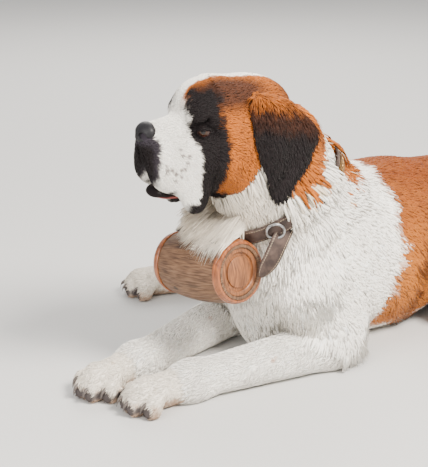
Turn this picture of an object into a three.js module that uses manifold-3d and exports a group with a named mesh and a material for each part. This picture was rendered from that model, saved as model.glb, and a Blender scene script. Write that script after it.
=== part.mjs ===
// A Saint Bernard lying on its chest, life size, in millimetres, with a small keg on its collar.
// The dog faces -Y, its left side is +X, +Z is up, and the floor under its breastbone is the origin.
import * as THREE from "three";
import { mergeVertices } from "three/addons/utils/BufferGeometryUtils.js";
import Module from "manifold-3d";

const wasm = await Module();
wasm.setup();

// Driving dimensions of the dog, in millimetres and degrees.
const GAP = 0.3;
const CHEST_HALF_WIDTH = 156;
const CHEST_HEIGHT = 350;
const HEAD_YAW = 12;
const HEAD_PITCH = 1;
const HEAD_SCALE = 0.96;
const EYE_POINT = new THREE.Vector3(27, -283, 491);
const EYE_HALF_SPACING = 50;
const EYE_RADIUS = 12.5;
const FOREARM_RADIUS = 44;
const CLAW_LENGTH = 15;
const COLLAR_WIDTH = 30;
const COLLAR_THICKNESS = 5;
const KEG_LENGTH = 176;
const KEG_RADIUS = 64;
const KEG_END_RADIUS = 53;
const HOOP_WIDTH = 15;
const KEG_SIDES = 18;

// Joints of the limbs as they lie, each as x, y, z.
const LIMB = {
  leftElbow: [124, -48, 44], leftWrist: [64, -330, 33], leftToe: [38, -474, 0],
  rightElbow: [-124, -66, 44], rightWrist: [-66, -352, 33], rightToe: [-50, -500, 0],
  leftHip: [96, 505, 150], leftKnee: [168, 330, 84], leftHock: [186, 545, 36],
  leftHindHeel: [208, 500, 27], leftHindToe: [220, 256, 0],
  rightHip: [-80, 480, 175], rightKnee: [-222, 310, 160], rightHock: [-325, 100, 60],
  rightHindHeel: [-335, 70, 40], rightHindToe: [-436, -112, 0],
};
const TAIL_PATH = [
  [0, 672, 180, 42], [8, 735, 118, 46], [34, 800, 66, 48], [90, 868, 40, 47],
  [170, 915, 36, 45], [262, 926, 32, 40], [345, 898, 20, 28], [392, 872, 12, 12],
];

// Grid steps of the skinned bodies: finer where the form is smaller.
const STEP = {
  head: [[24, 14], 17, 16], neck: [38, 38, 38], torso: [42, 54, 40], limb: [26, 48, 24], paw: [19, 22, 18],
  nose: 8, jaw: [18, 15, 15], tongue: [16, 10, 8], thigh: [38, 48, 38], tail: [32, 34, 30],
};

const v3 = (x, y, z) => new THREE.Vector3(x, y, z);
const rad = THREE.MathUtils.degToRad;

// Signed distances, negative inside. Each returns a function of x, y, z.
function ellipsoid(centre, radii, turn = [0, 0, 0]) {
  const back = new THREE.Matrix4()
    .makeRotationFromEuler(new THREE.Euler(...turn.map(rad)))
    .setPosition(...centre)
    .invert();
  const e = back.elements;
  const [a, b, c] = radii;
  return (x, y, z) => {
    const px = e[0] * x + e[4] * y + e[8] * z + e[12];
    const py = e[1] * x + e[5] * y + e[9] * z + e[13];
    const pz = e[2] * x + e[6] * y + e[10] * z + e[14];
    const k0 = Math.hypot(px / a, py / b, pz / c);
    const k1 = Math.hypot(px / (a * a), py / (b * b), pz / (c * c));
    return k1 < 1e-9 ? -Math.min(a, b, c) : (k0 * (k0 - 1)) / k1;
  };
}

function bone(from, to, startRadius, endRadius) {
  const dx = to[0] - from[0];
  const dy = to[1] - from[1];
  const dz = to[2] - from[2];
  const lengthSquared = dx * dx + dy * dy + dz * dz;
  return (x, y, z) => {
    const along = ((x - from[0]) * dx + (y - from[1]) * dy + (z - from[2]) * dz) / lengthSquared;
    const t = Math.min(1, Math.max(0, along));
    const away = Math.hypot(x - from[0] - t * dx, y - from[1] - t * dy, z - from[2] - t * dz);
    return away - (startRadius + t * (endRadius - startRadius));
  };
}

function blend(shapes, softness) {
  return (x, y, z) => {
    let d = shapes[0](x, y, z);
    for (let i = 1; i < shapes.length; i++) {
      const other = shapes[i](x, y, z);
      const h = Math.max(softness - Math.abs(d - other), 0) / softness;
      d = Math.min(d, other) - (h * h * softness) / 4;
    }
    return d;
  };
}

const carve = (shape, tool, softness = 6) => (x, y, z) => {
  const a = shape(x, y, z);
  const b = -tool(x, y, z);
  const h = Math.max(softness - Math.abs(a - b), 0) / softness;
  return Math.max(a, b) + (h * h * softness) / 4;
};

// Whether every edge has exactly two faces once corners in one place are one corner.
function isClosed(made) {
  const m = made.getMesh();
  const ids = new Map();
  const id = (corner) => {
    const key = [0, 1, 2].map((k) => m.vertProperties[3 * corner + k].toFixed(4)).join(",");
    if (!ids.has(key)) ids.set(key, ids.size);
    return ids.get(key);
  };
  const edges = new Set();
  for (let i = 0; i < m.triVerts.length; i += 3) {
    const t = [0, 1, 2].map((k) => id(m.triVerts[i + k]));
    if (t[0] === t[1] || t[1] === t[2] || t[2] === t[0]) continue;
    for (let k = 0; k < 3; k++) {
      const key = t[k] + ">" + t[(k + 1) % 3];
      if (edges.has(key)) return false;
      edges.add(key);
    }
  }
  return [...edges].every((key) => edges.has(key.split(">").reverse().join(">")));
}

// Skins a field with one vertex in each cell that its surface crosses, on a slightly finer grid where two
// sheets of the surface would share a cell. A step is one size, or a size for each axis, and an axis can
// hold a pair: the spacing at its low end and at its high end.
function skin(field, low, high, step) {
  for (let finer = 0; ; finer++) {
    const axes = [0, 1, 2].map((k) => ticks(low[k], high[k], step[k] ?? step, 1 - 0.02 * finer));
    try {
      const made = new wasm.Manifold(new wasm.Mesh(netOf(field, axes)));
      if (isClosed(made)) return made;
    } catch (error) {
      if (finer > 20) throw error;
    }
  }
}

function ticks(low, high, spacing, scale) {
  const [first, last] = Array.isArray(spacing) ? spacing : [spacing, spacing];
  const list = [low - scale * first];
  while (list.at(-1) < high + last) {
    const t = (list.at(-1) - low) / (high - low);
    list.push(list.at(-1) + scale * (first + t * (last - first)));
  }
  return list;
}

function netOf(field, axes) {
  const n = axes.map((list) => list.length);
  const index = (i, j, k) => i + n[0] * (j + n[1] * k);
  const value = new Float32Array(n[0] * n[1] * n[2]);
  for (let k = 0; k < n[2]; k++)
    for (let j = 0; j < n[1]; j++)
      for (let i = 0; i < n[0]; i++)
        value[index(i, j, k)] = field(axes[0][i], axes[1][j], axes[2][k]);
  const points = [];
  const cell = new Map();
  const corners = [0, 1, 2, 3, 4, 5, 6, 7].map((c) => [c & 1, (c >> 1) & 1, c >> 2]);
  const edges = corners.flatMap((a, m) =>
    [1, 2, 4].filter((bit) => !(m & bit)).map((bit) => [m, m | bit]));
  for (let k = 0; k < n[2] - 1; k++)
    for (let j = 0; j < n[1] - 1; j++)
      for (let i = 0; i < n[0] - 1; i++) {
        const v = corners.map(([a, b, c]) => value[index(i + a, j + b, k + c)]);
        const sum = [0, 0, 0];
        let count = 0;
        for (const [p, q] of edges)
          if (v[p] < 0 !== v[q] < 0) {
            const t = v[p] / (v[p] - v[q]);
            for (let m = 0; m < 3; m++) sum[m] += corners[p][m] + t * (corners[q][m] - corners[p][m]);
            count++;
          }
        if (!count) continue;
        cell.set(index(i, j, k), points.length / 3);
        const at = [i, j, k];
        for (let m = 0; m < 3; m++) {
          const [from, to] = [axes[m][at[m]], axes[m][at[m] + 1]];
          points.push(from + (sum[m] / count) * (to - from));
        }
      }
  const faces = [];
  const along = [index(1, 0, 0), index(0, 1, 0), index(0, 0, 1)];
  for (let k = 1; k < n[2] - 1; k++)
    for (let j = 1; j < n[1] - 1; j++)
      for (let i = 1; i < n[0] - 1; i++) {
        const here = index(i, j, k);
        for (let m = 0; m < 3; m++) {
          const inside = value[here] < 0;
          if (inside === value[here + along[m]] < 0) continue;
          const s = along[(m + 1) % 3];
          const t = along[(m + 2) % 3];
          const ring = [here - s - t, here - t, here, here - s].map((c) => cell.get(c));
          if (!inside) ring.reverse();
          faces.push(ring[0], ring[1], ring[2], ring[0], ring[2], ring[3]);
        }
      }
  return { numProp: 3, vertProperties: new Float32Array(points), triVerts: new Uint32Array(faces) };
}

// A closed three.js geometry as a solid, and back again.
function solid(geometry, matrix = new THREE.Matrix4()) {
  const plain = geometry.clone().applyMatrix4(matrix);
  plain.deleteAttribute("normal");
  plain.deleteAttribute("uv");
  const merged = mergeVertices(plain, 1e-3);
  return new wasm.Manifold(new wasm.Mesh({
    numProp: 3,
    vertProperties: merged.attributes.position.array,
    triVerts: new Uint32Array(merged.index.array),
  }));
}

function largest(made) {
  return made.decompose().sort((a, b) => b.volume() - a.volume())[0];
}

function geometryOf(made) {
  const m = made.getMesh();
  return new THREE.BufferGeometry()
    .setAttribute("position", new THREE.BufferAttribute(new Float32Array(m.vertProperties), 3))
    .setIndex(new THREE.BufferAttribute(new Uint32Array(m.triVerts), 1));
}

// The same body with its skin moved out along its normals, to cut a neighbour clear of it.
function grown(made, by = 0.6) {
  const m = made.getMesh();
  const geometry = new THREE.BufferGeometry()
    .setAttribute("position", new THREE.BufferAttribute(new Float32Array(m.vertProperties), 3))
    .setIndex(new THREE.BufferAttribute(new Uint32Array(m.triVerts), 1));
  geometry.computeVertexNormals();
  const out = geometry.attributes.normal.array;
  return new wasm.Manifold(new wasm.Mesh({
    numProp: 3, vertProperties: m.vertProperties.map((x, i) => x + by * out[i]), triVerts: m.triVerts,
  }));
}

// A tube through elliptical sections {at, wide, thick, curl}: centre, two half-axis vectors, and how far
// both edges of the section bend over.
function loft(sections, sides) {
  const points = [];
  const faces = [];
  const ring = (r, s) => 1 + r * sides + (s % sides);
  const last = sections.length - 1;
  points.push(sections[0].at);
  for (const { at, wide, thick, curl } of sections)
    for (let s = 0; s < sides; s++) {
      const a = (2 * Math.PI * s) / sides;
      const point = at.clone().addScaledVector(wide, Math.cos(a)).addScaledVector(thick, Math.sin(a));
      if (curl) point.addScaledVector(curl, Math.cos(a) ** 2);
      points.push(point);
    }
  points.push(sections[last].at);
  for (let s = 0; s < sides; s++) {
    faces.push(0, ring(0, s + 1), ring(0, s));
    faces.push(points.length - 1, ring(last, s), ring(last, s + 1));
    for (let r = 0; r < last; r++) {
      faces.push(ring(r, s), ring(r, s + 1), ring(r + 1, s + 1));
      faces.push(ring(r, s), ring(r + 1, s + 1), ring(r + 1, s));
    }
  }
  const made = new wasm.Manifold(new wasm.Mesh({
    numProp: 3,
    vertProperties: new Float32Array(points.flatMap((p) => p.toArray())),
    triVerts: new Uint32Array(faces),
  }));
  if (made.volume() > 0) return made;
  for (let i = 0; i < faces.length; i += 3) [faces[i + 1], faces[i + 2]] = [faces[i + 2], faces[i + 1]];
  return new wasm.Manifold(new wasm.Mesh({
    numProp: 3,
    vertProperties: new Float32Array(points.flatMap((p) => p.toArray())),
    triVerts: new Uint32Array(faces),
  }));
}

// Materials, one for each finish.
const paint = (color, roughness, metalness = 0) =>
  new THREE.MeshStandardMaterial({ color, roughness, metalness });
const FINISH = {
  white: paint(0xe9e2d4, 0.9),
  russet: paint(0xa5521f, 0.85),
  mask: paint(0x2a1c18, 0.85),
  nose: paint(0x2b282c, 0.45),
  eye: paint(0x2a140c, 0.1),
  claw: paint(0x2a2624, 0.5),
  tongue: paint(0xc0605c, 0.5),
  leather: paint(0x5f4a42, 0.7),
  wood: paint(0xa06c42, 0.7),
  hoop: paint(0xb4622a, 0.6),
  metal: paint(0x9a9a98, 0.4, 0.9),
};

const dog = new THREE.Group();
dog.name = "saint_bernard";

// Merges corners that a cut left almost in one place, so that every face keeps a real size.
function welded(made) {
  for (const grid of [0.004, 0.007, 0.011, 0.02, 0.03, 0.05, 0.07, 0.1, 0.15, 0.2]) {
    const m = made.getMesh();
    const seen = new Map();
    const points = [];
    const index = [];
    for (let i = 0; i < m.vertProperties.length; i += 3) {
      const at = [0, 1, 2].map((k) => Math.round(m.vertProperties[i + k] / grid) * grid);
      const key = at.map((x) => x.toFixed(3)).join(",");
      if (!seen.has(key)) {
        seen.set(key, points.length / 3);
        points.push(...at);
      }
      index.push(seen.get(key));
    }
    const faces = [];
    for (let i = 0; i < m.triVerts.length; i += 3) {
      const [a, b, c] = [0, 1, 2].map((k) => index[m.triVerts[i + k]]);
      if (a !== b && b !== c && c !== a) faces.push(a, b, c);
    }
    try {
      const clean = new wasm.Manifold(new wasm.Mesh({
        numProp: 3, vertProperties: new Float32Array(points), triVerts: new Uint32Array(faces),
      }));
      if (isClosed(clean) && clean.decompose().length === 1) return clean;
    } catch (error) {
      continue;
    }
  }
  throw new Error("a body touches itself along an edge");
}

function add(name, raw, finish) {
  const made = welded(raw);
  const mesh = new THREE.Mesh(geometryOf(made), FINISH[finish]);
  mesh.name = name;
  dog.add(mesh);
}

// Keeps the side of a plane that the normal points to, half a gap off it.
const keep = (made, point, normal) => {
  const n = normal.clone().normalize();
  return made.trimByPlane([n.x, n.y, n.z], n.dot(point) + GAP / 2);
};
const onFloor = (made) => made.trimByPlane([0, 0, 1], 0);
const mirrored = (x, make) => [make(x), make(-x)];
const point = (joint) => v3(...joint);

// The keg under the throat: staves, a hoop and a turned board at each end.
const kegCentre = v3(8, -244, 216);
const kegAxis = v3(0.985, 0.04, 0.13).normalize();
const kegTurn = new THREE.Matrix4()
  .makeRotationFromQuaternion(new THREE.Quaternion().setFromUnitVectors(v3(0, 1, 0), kegAxis))
  .setPosition(kegCentre);
const half = KEG_LENGTH / 2;
const kegRadius = (y) => KEG_RADIUS - (KEG_RADIUS - KEG_END_RADIUS) * (y / half) ** 2;
const turned = (profile) =>
  solid(new THREE.LatheGeometry(profile.map(([r, y]) => new THREE.Vector2(r, y)), KEG_SIDES), kegTurn);
const hoopInner = half - HOOP_WIDTH;
const KEG_RINGS = 5;

const staves = [[0, -half + 12]];
staves.push([KEG_END_RADIUS - 9, -half + 12], [KEG_END_RADIUS - 9, -half], [KEG_END_RADIUS - 3, -half]);
for (let i = 0; i <= KEG_RINGS; i++) {
  const y = ((2 * i) / KEG_RINGS - 1) * hoopInner;
  if (i === 0) staves.push([kegRadius(y) - 3, y - 0.3]);
  staves.push([kegRadius(y), y]);
  if (i === KEG_RINGS) staves.push([kegRadius(y) - 3, y + 0.3]);
}
staves.push([KEG_END_RADIUS - 3, half], [KEG_END_RADIUS - 9, half], [KEG_END_RADIUS - 9, half - 12]);
staves.push([0, half - 12]);
add("keg", turned(staves), "wood");
for (const [s, name] of [[1, "left"], [-1, "right"]]) {
  const order = (list) => (s > 0 ? list : list.map(([r, y]) => [r, -y]).reverse());
  const ringInner = KEG_END_RADIUS - 3 + GAP;
  const innerAt = kegRadius(hoopInner) - 3 + GAP;
  const hoop = order([
    [innerAt, hoopInner + 0.7], [kegRadius(hoopInner) + 1.5, hoopInner + 0.7],
    [KEG_END_RADIUS + 2.5, half - 2], [KEG_END_RADIUS + 1, half], [ringInner, half], [innerAt, hoopInner + 0.7],
  ]);
  add("keg_hoop_" + name, turned(hoop), "hoop");
  const rim = KEG_END_RADIUS - 9 - GAP;
  const board = order([
    [0, half - 12 + GAP], [rim, half - 12 + GAP], [rim, half - 3], [rim - 8, half - 3], [rim - 10, half - 7],
    [rim - 16, half - 7], [rim - 18, half - 3.5], [0, half - 3.5],
  ]);
  add("keg_board_" + name, turned(board), "wood");
}
const kegRoom = turned([[0, -half - GAP], [KEG_END_RADIUS + 4, -half - GAP], [KEG_RADIUS + 1.5, -30],
  [KEG_RADIUS + 1.5, 30], [KEG_END_RADIUS + 4, half + GAP], [0, half + GAP]]);

// Torso, shoulders and upper arms, as one field.
const torsoField = blend([
  ellipsoid([0, 205, CHEST_HEIGHT / 2 - 12], [CHEST_HALF_WIDTH, 265, CHEST_HEIGHT / 2 + 4]),
  ellipsoid([0, 60, 225], [112, 150, 128]),
  ellipsoid([0, -46, 152], [106, 116, 176]),
  ellipsoid([0, 40, 60], [70, 110, 82]),
  ...mirrored(1, (s) => ellipsoid([s * 96, 0, 180], [62, 98, 140], [20, 0, 0])),
  ...mirrored(1, (s) => bone([s * 108, -82, 150], [s * 126, -18, 66], 62, 50)),
  ellipsoid([-6, 420, 148], [128, 165, 162]),
  ellipsoid([-6, 580, 146], [134, 125, 170]),
], 55);
const TORSO_BOX = [[-220, -230, -40], [220, 760, 400]];
const torsoWhole = skin(torsoField, ...TORSO_BOX, STEP.torso);
const torso = onFloor(torsoWhole);
const torsoGrown = grown(torsoWhole, 0.8);

// Locks of the long coat: flat tapered tufts that start under the skin, follow it along their lie and
// overlap like tiles. Sizes are length, width and thickness.
const LOCK = {
  throat: [74, 34, 11], ruff: [84, 40, 12], shoulder: [92, 44, 12], elbow: [72, 30, 10],
  flank: [90, 44, 12], breeches: [96, 40, 13], plume: [84, 34, 11], nape: [60, 34, 11],
};
let seed = 7;
const random = () => {
  seed = (seed * 16807) % 2147483647;
  return seed / 2147483647;
};
const vary = (share) => 1 + share * (2 * random() - 1);

function outward(field, p) {
  const h = 2;
  return v3(
    field(p.x + h, p.y, p.z) - field(p.x - h, p.y, p.z),
    field(p.x, p.y + h, p.z) - field(p.x, p.y - h, p.z),
    field(p.x, p.y, p.z + h) - field(p.x, p.y, p.z - h),
  ).normalize();
}
function settle(field, p, lift) {
  const at = p.clone();
  for (let i = 0; i < 6; i++) at.addScaledVector(outward(field, at), lift - field(at.x, at.y, at.z));
  return at;
}
function lockOn(field, near, lie, [length, width, thickness]) {
  const long = length * vary(0.22);
  const wide = (width * vary(0.2)) / 2;
  const thick = (thickness * vary(0.15)) / 2;
  let at = settle(field, near, 0);
  let along = lie.clone();
  const turn = 0.35 * (random() - 0.5);
  const stages = [[0, -1.5, 0.75, 0.9], [0.34, 0.35, 1, 1], [0.36, 0.9, 0.72, 0.8], [0.3, 1.1, 0.1, 0.2]];
  const sections = stages.map(([share, lift, w, t]) => {
    const normal = outward(field, at);
    along.addScaledVector(normal, -along.dot(normal)).normalize();
    along.applyAxisAngle(normal, turn);
    at = settle(field, at.clone().addScaledVector(along, share * long), 0);
    const out = outward(field, at);
    return {
      at: at.clone().addScaledVector(out, lift * thick * 2),
      wide: along.clone().cross(out).normalize().multiplyScalar(w * wide),
      thick: out.clone().multiplyScalar(t * thick),
    };
  });
  return loft(sections, 4);
}
// Fuses a row of locks to a body, one for each rough place, and keeps the one closed body.
function withLocks(made, field, places, lie, size) {
  return places.reduce((body, [x, y, z]) => {
    const direction = typeof lie === "function" ? lie(x, y, z) : lie;
    return body.add(lockOn(field, v3(x * vary(0.02), y + 8 * random(), z + 6 * random()), direction.clone(), size));
  }, made);
}
const steps = (from, to, count) =>
  Array.from({ length: count }, (_, i) => from + ((to - from) * i) / Math.max(1, count - 1));

// The head's own frame: u out of the muzzle, v to the dog's left, w up, from between the eyes.
const headFrame = new THREE.Matrix4()
  .makeRotationFromEuler(new THREE.Euler(0, -rad(HEAD_PITCH), -rad(90 + HEAD_YAW), "ZYX"))
  .scale(v3(HEAD_SCALE, HEAD_SCALE, HEAD_SCALE))
  .setPosition(EYE_POINT);
const inHead = (u, v, w) => v3(u, v, w).applyMatrix4(headFrame);
const turnedWithHead = (u, v, w) => inHead(u, v, w).sub(EYE_POINT);

const skull = blend([
  ellipsoid([-92, 0, 14], [104, 80, 76]),
  ellipsoid([-14, 0, 36], [58, 58, 52]),
  ...mirrored(1, (s) => ellipsoid([-80, s * 42, -48], [74, 42, 78])),
  ...mirrored(1, (s) => ellipsoid([8, s * 38, 22], [28, 24, 18])),
], 30);
const muzzle = blend([
  ellipsoid([54, 0, -34], [58, 46, 42]),
  bone([35, 0, -6], [88, 0, -10], 31, 25),
  ...mirrored(1, (s) => ellipsoid([62, s * 26, -64], [52, 28, 52], [s * 6, 0, 0])),
  ...mirrored(1, (s) => ellipsoid([24, s * 36, -100], [34, 22, 56], [s * 6, 0, 0])),
], 20);
const throat = bone([-30, 0, -98], [-110, 0, -104], 38, 56);
const headShape = blend([skull, muzzle, throat], 26);
const mouthGap = blend([
  ellipsoid([84, 0, -122], [54, 25, 28]),
  ellipsoid([30, 0, -126], [60, 18, 22]),
], 10);
const eyeDips = mirrored(1, (s) => ellipsoid([16, s * (EYE_HALF_SPACING + 6), -2], [16, 15, 11]));
const headField = eyeDips.reduce((shape, dip) => carve(shape, dip, 9), carve(headShape, mouthGap, 6));
const HEAD_BOX = [[-215, -110, -180], [140, 110, 120]];
const headPart = (field, low, high, step) => skin(field, low, high, step).transform(headFrame.elements);

// The neck leaves the torso on a slanting plane, and the head on another.
const neckCut = { at: v3(0, -20, 282), out: v3(0, -0.62, 0.78) };
const headCut = { at: inHead(-128, 0, -70), out: turnedWithHead(10, 0, 3) };
const neckTop = inHead(-160, 0, -58);
const neckField = blend([
  bone([0, 0, 262], neckTop.toArray(), 122, 94),
  bone([0, -84, 205], inHead(-112, 0, -92).toArray(), 90, 80),
], 50);
const NECK_BOX = [[-240, -350, 40], [220, 190, 600]];

// The collar: a band round the neck, on a slanting plane through its middle.
const collarMiddle = v3(6, -92, 345);
const collarBack = v3(0, 0.86, 0.51);
const collarSide = v3(1, 0, 0);
const collarAxis = collarSide.clone().cross(collarBack);
function onNeck(angle, field, off = 0) {
  const dir = collarSide.clone().multiplyScalar(Math.cos(angle)).addScaledVector(collarBack, Math.sin(angle));
  let near = 20;
  let far = 240;
  for (let i = 0; i < 30; i++) {
    const mid = (near + far) / 2;
    const p = collarMiddle.clone().addScaledVector(dir, mid);
    if (field(p.x, p.y, p.z) < 0) near = mid;
    else far = mid;
  }
  return { at: collarMiddle.clone().addScaledVector(dir, near + off), out: dir };
}
// A band of rectangular section through rings of four corners, closed on itself or capped.
function bandOf(rings, closed) {
  const points = rings.flat();
  const faces = [];
  const n = rings.length;
  for (let r = 0; r < (closed ? n : n - 1); r++)
    for (let c = 0; c < 4; c++) {
      const a = r * 4 + c;
      const b = r * 4 + ((c + 1) % 4);
      const a2 = ((r + 1) % n) * 4 + c;
      const b2 = ((r + 1) % n) * 4 + ((c + 1) % 4);
      faces.push(a, b, b2, a, b2, a2);
    }
  const end = 4 * (n - 1);
  if (!closed) faces.push(0, 2, 1, 0, 3, 2, end, end + 1, end + 2, end, end + 2, end + 3);
  const build = (list) => new wasm.Manifold(new wasm.Mesh({
    numProp: 3,
    vertProperties: new Float32Array(points.flatMap((p) => p.toArray())),
    triVerts: new Uint32Array(list),
  }));
  const made = build(faces);
  if (made.volume() > 0) return made;
  const turnedList = [];
  for (let i = 0; i < faces.length; i += 3) turnedList.push(faces[i], faces[i + 2], faces[i + 1]);
  return build(turnedList);
}
// A strap through points, each with its half width; flat across the given normal.
function strapOf(path, halfWidths, normal, thickness) {
  const rings = path.map((at, i) => {
    const along = path[Math.min(i + 1, path.length - 1)].clone().sub(path[Math.max(i - 1, 0)]).normalize();
    const out = normal(at, i).addScaledVector(along, -normal(at, i).dot(along)).normalize();
    const across = along.clone().cross(out).multiplyScalar(halfWidths[i]);
    const rise = out.clone().multiplyScalar(thickness);
    return [at.clone().sub(across), at.clone().add(across), at.clone().add(across).add(rise),
      at.clone().sub(across).add(rise)];
  });
  return bandOf(rings, false);
}
const COLLAR_SIDES = 28;
const fullNeck = blend([neckField, torsoField], 20);
function collarBand(width, inner, outer) {
  const rings = [];
  for (let i = 0; i < COLLAR_SIDES; i++) {
    const { at, out } = onNeck((2 * Math.PI * i) / COLLAR_SIDES, fullNeck);
    const corner = (along, off) => at.clone().addScaledVector(collarAxis, along).addScaledVector(out, off);
    rings.push([corner(-width, inner), corner(width, inner), corner(width, outer), corner(-width, outer)]);
  }
  return bandOf(rings, true);
}
const collarHalf = COLLAR_WIDTH / 2;
const collar = collarBand(collarHalf, 0, COLLAR_THICKNESS);
const collarGrown = collarBand(collarHalf + GAP, -30, COLLAR_THICKNESS + GAP);
const collarRoom = collarBand(collarHalf + GAP, -GAP, COLLAR_THICKNESS + 40);

// Torso halves, with the coat's edge behind the shoulder, tufts at the elbows and a fringe along the flanks.
const shoulderCut = v3(0, 300, 0);
let chest = keep(torso, shoulderCut, v3(0, -1, 0));
for (const s of [1, -1]) {
  const back = v3(0, 0.86, -0.5);
  const shoulder = [[60, 112, 345], [112, 128, 292], [146, 140, 236], [156, 132, 178], [152, 112, 124]];
  chest = withLocks(chest, torsoField, shoulder.map(([x, y, z]) => [s * x, y, z]), back, LOCK.shoulder);
  const elbow = [[152, 10, 96], [150, 22, 66]];
  chest = withLocks(chest, torsoField, elbow.map(([x, y, z]) => [s * x, y, z]), v3(0.2 * s, 0.95, -0.2), LOCK.elbow);
  const flank = steps(96, 200, 3).map((y) => [s * 120, y, 52]);
  chest = withLocks(chest, torsoField, flank, v3(0, 0.9, -0.42), LOCK.flank);
}
chest = onFloor(keep(chest, shoulderCut, v3(0, -1, 0)));
chest = keep(chest, neckCut.at, neckCut.out.clone().negate());
chest = largest(chest.subtract(collarRoom).subtract(kegRoom));

let loins = keep(torso, shoulderCut, v3(0, 1, 0));
loins = withLocks(loins, torsoField, [[-104, 650, 120], [-100, 640, 80]], v3(-0.2, 0.3, -0.9), LOCK.breeches);
loins = largest(onFloor(keep(loins, shoulderCut, v3(0, 1, 0))));

const neckWhole = skin(neckField, ...NECK_BOX, STEP.neck);
const ringPlace = (angle, along) => {
  const { at } = onNeck(rad(angle), neckField);
  return at.addScaledVector(collarAxis, along).toArray();
};
const downNeck = (x, y, z) => v3(0.12 * Math.sign(x), 0.25, -0.96);
let neck = keep(neckWhole, headCut.at, headCut.out.clone().negate());
neck = withLocks(neck, neckField, [-158, -128, -52, -22].map((a) => ringPlace(a, 44)), downNeck, LOCK.throat);
neck = withLocks(neck, neckField, [-112, -90, -68].map((a) => ringPlace(a, 62)), downNeck, LOCK.throat);
neck = withLocks(neck, neckField, [-168, -12, 12, 168].map((a) => ringPlace(a, -24)), v3(0, 0.7, -0.7), LOCK.ruff);
neck = withLocks(neck, neckField, [60, 90, 120].map((a) => ringPlace(a, 40)), v3(0, 0.9, -0.4), LOCK.nape);
neck = keep(neck, headCut.at, headCut.out.clone().negate());
neck = largest(largest(neck.subtract(torsoGrown)).subtract(collarRoom).subtract(kegRoom));

add("chest", chest, "white");
add("loins", loins, "russet");

// Head, with eyes in their sockets behind almond openings, and the nose in its pocket.
const ball = (at, radius, sides = 11) =>
  solid(new THREE.SphereGeometry(radius, sides, Math.round(sides * 0.7)), new THREE.Matrix4().setPosition(at));
const eyeAt = (s) => inHead(9, s * (EYE_HALF_SPACING - 5), -1);
const eyeSlot = (s) => {
  const out = turnedWithHead(0.42, s, 0).normalize();
  const along = turnedWithHead(1, -s * 0.42, -0.22).normalize();
  const up = along.clone().cross(out).normalize();
  const section = (off) => ({
    at: eyeAt(s).addScaledVector(out, off),
    wide: along.clone().multiplyScalar(14),
    thick: up.clone().multiplyScalar(8.5),
  });
  return loft([section(0), section(40)], 10);
};
const noseField = [[1, 0], [-1, 0]].reduce(
  (shape, [s]) => carve(shape, blend([
    ellipsoid([117, s * 11, -7], [9, 6, 5.5]),
    bone([112, s * 14, -10], [104, s * 25, -14], 3.4, 2.4),
  ], 3), 3),
  blend([
    ellipsoid([102, 0, -4], [17, 25, 19]),
    ellipsoid([110, 0, -10], [11, 14, 14]),
  ], 12));
const NOSE_BOX = [[70, -36, -40], [134, 36, 26]];
const nose = headPart(noseField, ...NOSE_BOX, STEP.nose);
const headWhole = headPart(headField, ...HEAD_BOX, STEP.head);
let head = keep(headWhole, headCut.at, headCut.out);
for (const s of [1, -1])
  head = head.subtract(ball(eyeAt(s), EYE_RADIUS + GAP)).subtract(eyeSlot(s));
head = largest(head.subtract(grown(nose)));
add("head", head, "russet");
add("nose", nose, "nose");
add("eye_left", ball(eyeAt(1), EYE_RADIUS), "eye");
add("eye_right", ball(eyeAt(-1), EYE_RADIUS), "eye");

const headGrown = grown(headWhole, 0.8);
const jawField = blend([
  bone([0, 0, -118], [62, 0, -117], 20, 17),
  ellipsoid([80, 0, -113], [24, 23, 16]),
], 12);
const JAW_BOX = [[-60, -50, -165], [130, 50, -60]];
let jaw = headPart(jawField, ...JAW_BOX, STEP.jaw);
const tongueField = ellipsoid([70, 0, -98], [34, 17, 7]);
let tongue = headPart(tongueField, ...JAW_BOX, STEP.tongue);
const tongueGrown = grown(tongue);
tongue = largest(tongue.subtract(headGrown));
jaw = largest(jaw.subtract(headGrown).subtract(tongueGrown));
add("lower_jaw", jaw, "mask");
add("tongue", tongue, "tongue");

// Ears: thick flaps with a raised root, hanging against the cheek with both edges curled in.
const EAR_SECTIONS = [
  [-98, 66, 62, 34, 13, 0.2, 2], [-108, 84, 50, 46, 16, 0.15, 5], [-124, 97, 18, 62, 12, 0.1, 10],
  [-142, 99, -24, 68, 9, -0.1, 12], [-146, 98, -68, 54, 8, -0.35, 11], [-134, 97, -106, 34, 7, -0.4, 7],
  [-122, 96, -134, 11, 4, -0.4, 2],
];
function earOf(s) {
  const sections = EAR_SECTIONS.map(([u, v, w, wide, thick, tilt, curl]) => ({
    at: inHead(u, s * v, w),
    wide: turnedWithHead(wide * Math.cos(tilt), 0, wide * Math.sin(tilt)),
    thick: turnedWithHead(0, thick * s, 0),
    curl: turnedWithHead(0, -curl * s, 0),
  }));
  return loft(sections, 10);
}
const pastCut = headCut.at.clone().addScaledVector(headCut.out.clone().normalize(), 1);
const neckGrown = keep(grown(neckWhole, 1.5), pastCut, headCut.out.clone().negate());
for (const [s, name] of [[1, "ear_left"], [-1, "ear_right"]]) {
  const ear = welded(largest(earOf(s).subtract(headGrown).subtract(neckGrown).subtract(collarGrown)));
  neck = neck.subtract(grown(ear, 1.2));
  add(name, ear, "mask");
}
neck = neck.subtract(grown(chest, 0.7));
add("neck", largest(neck), "white");

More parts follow.
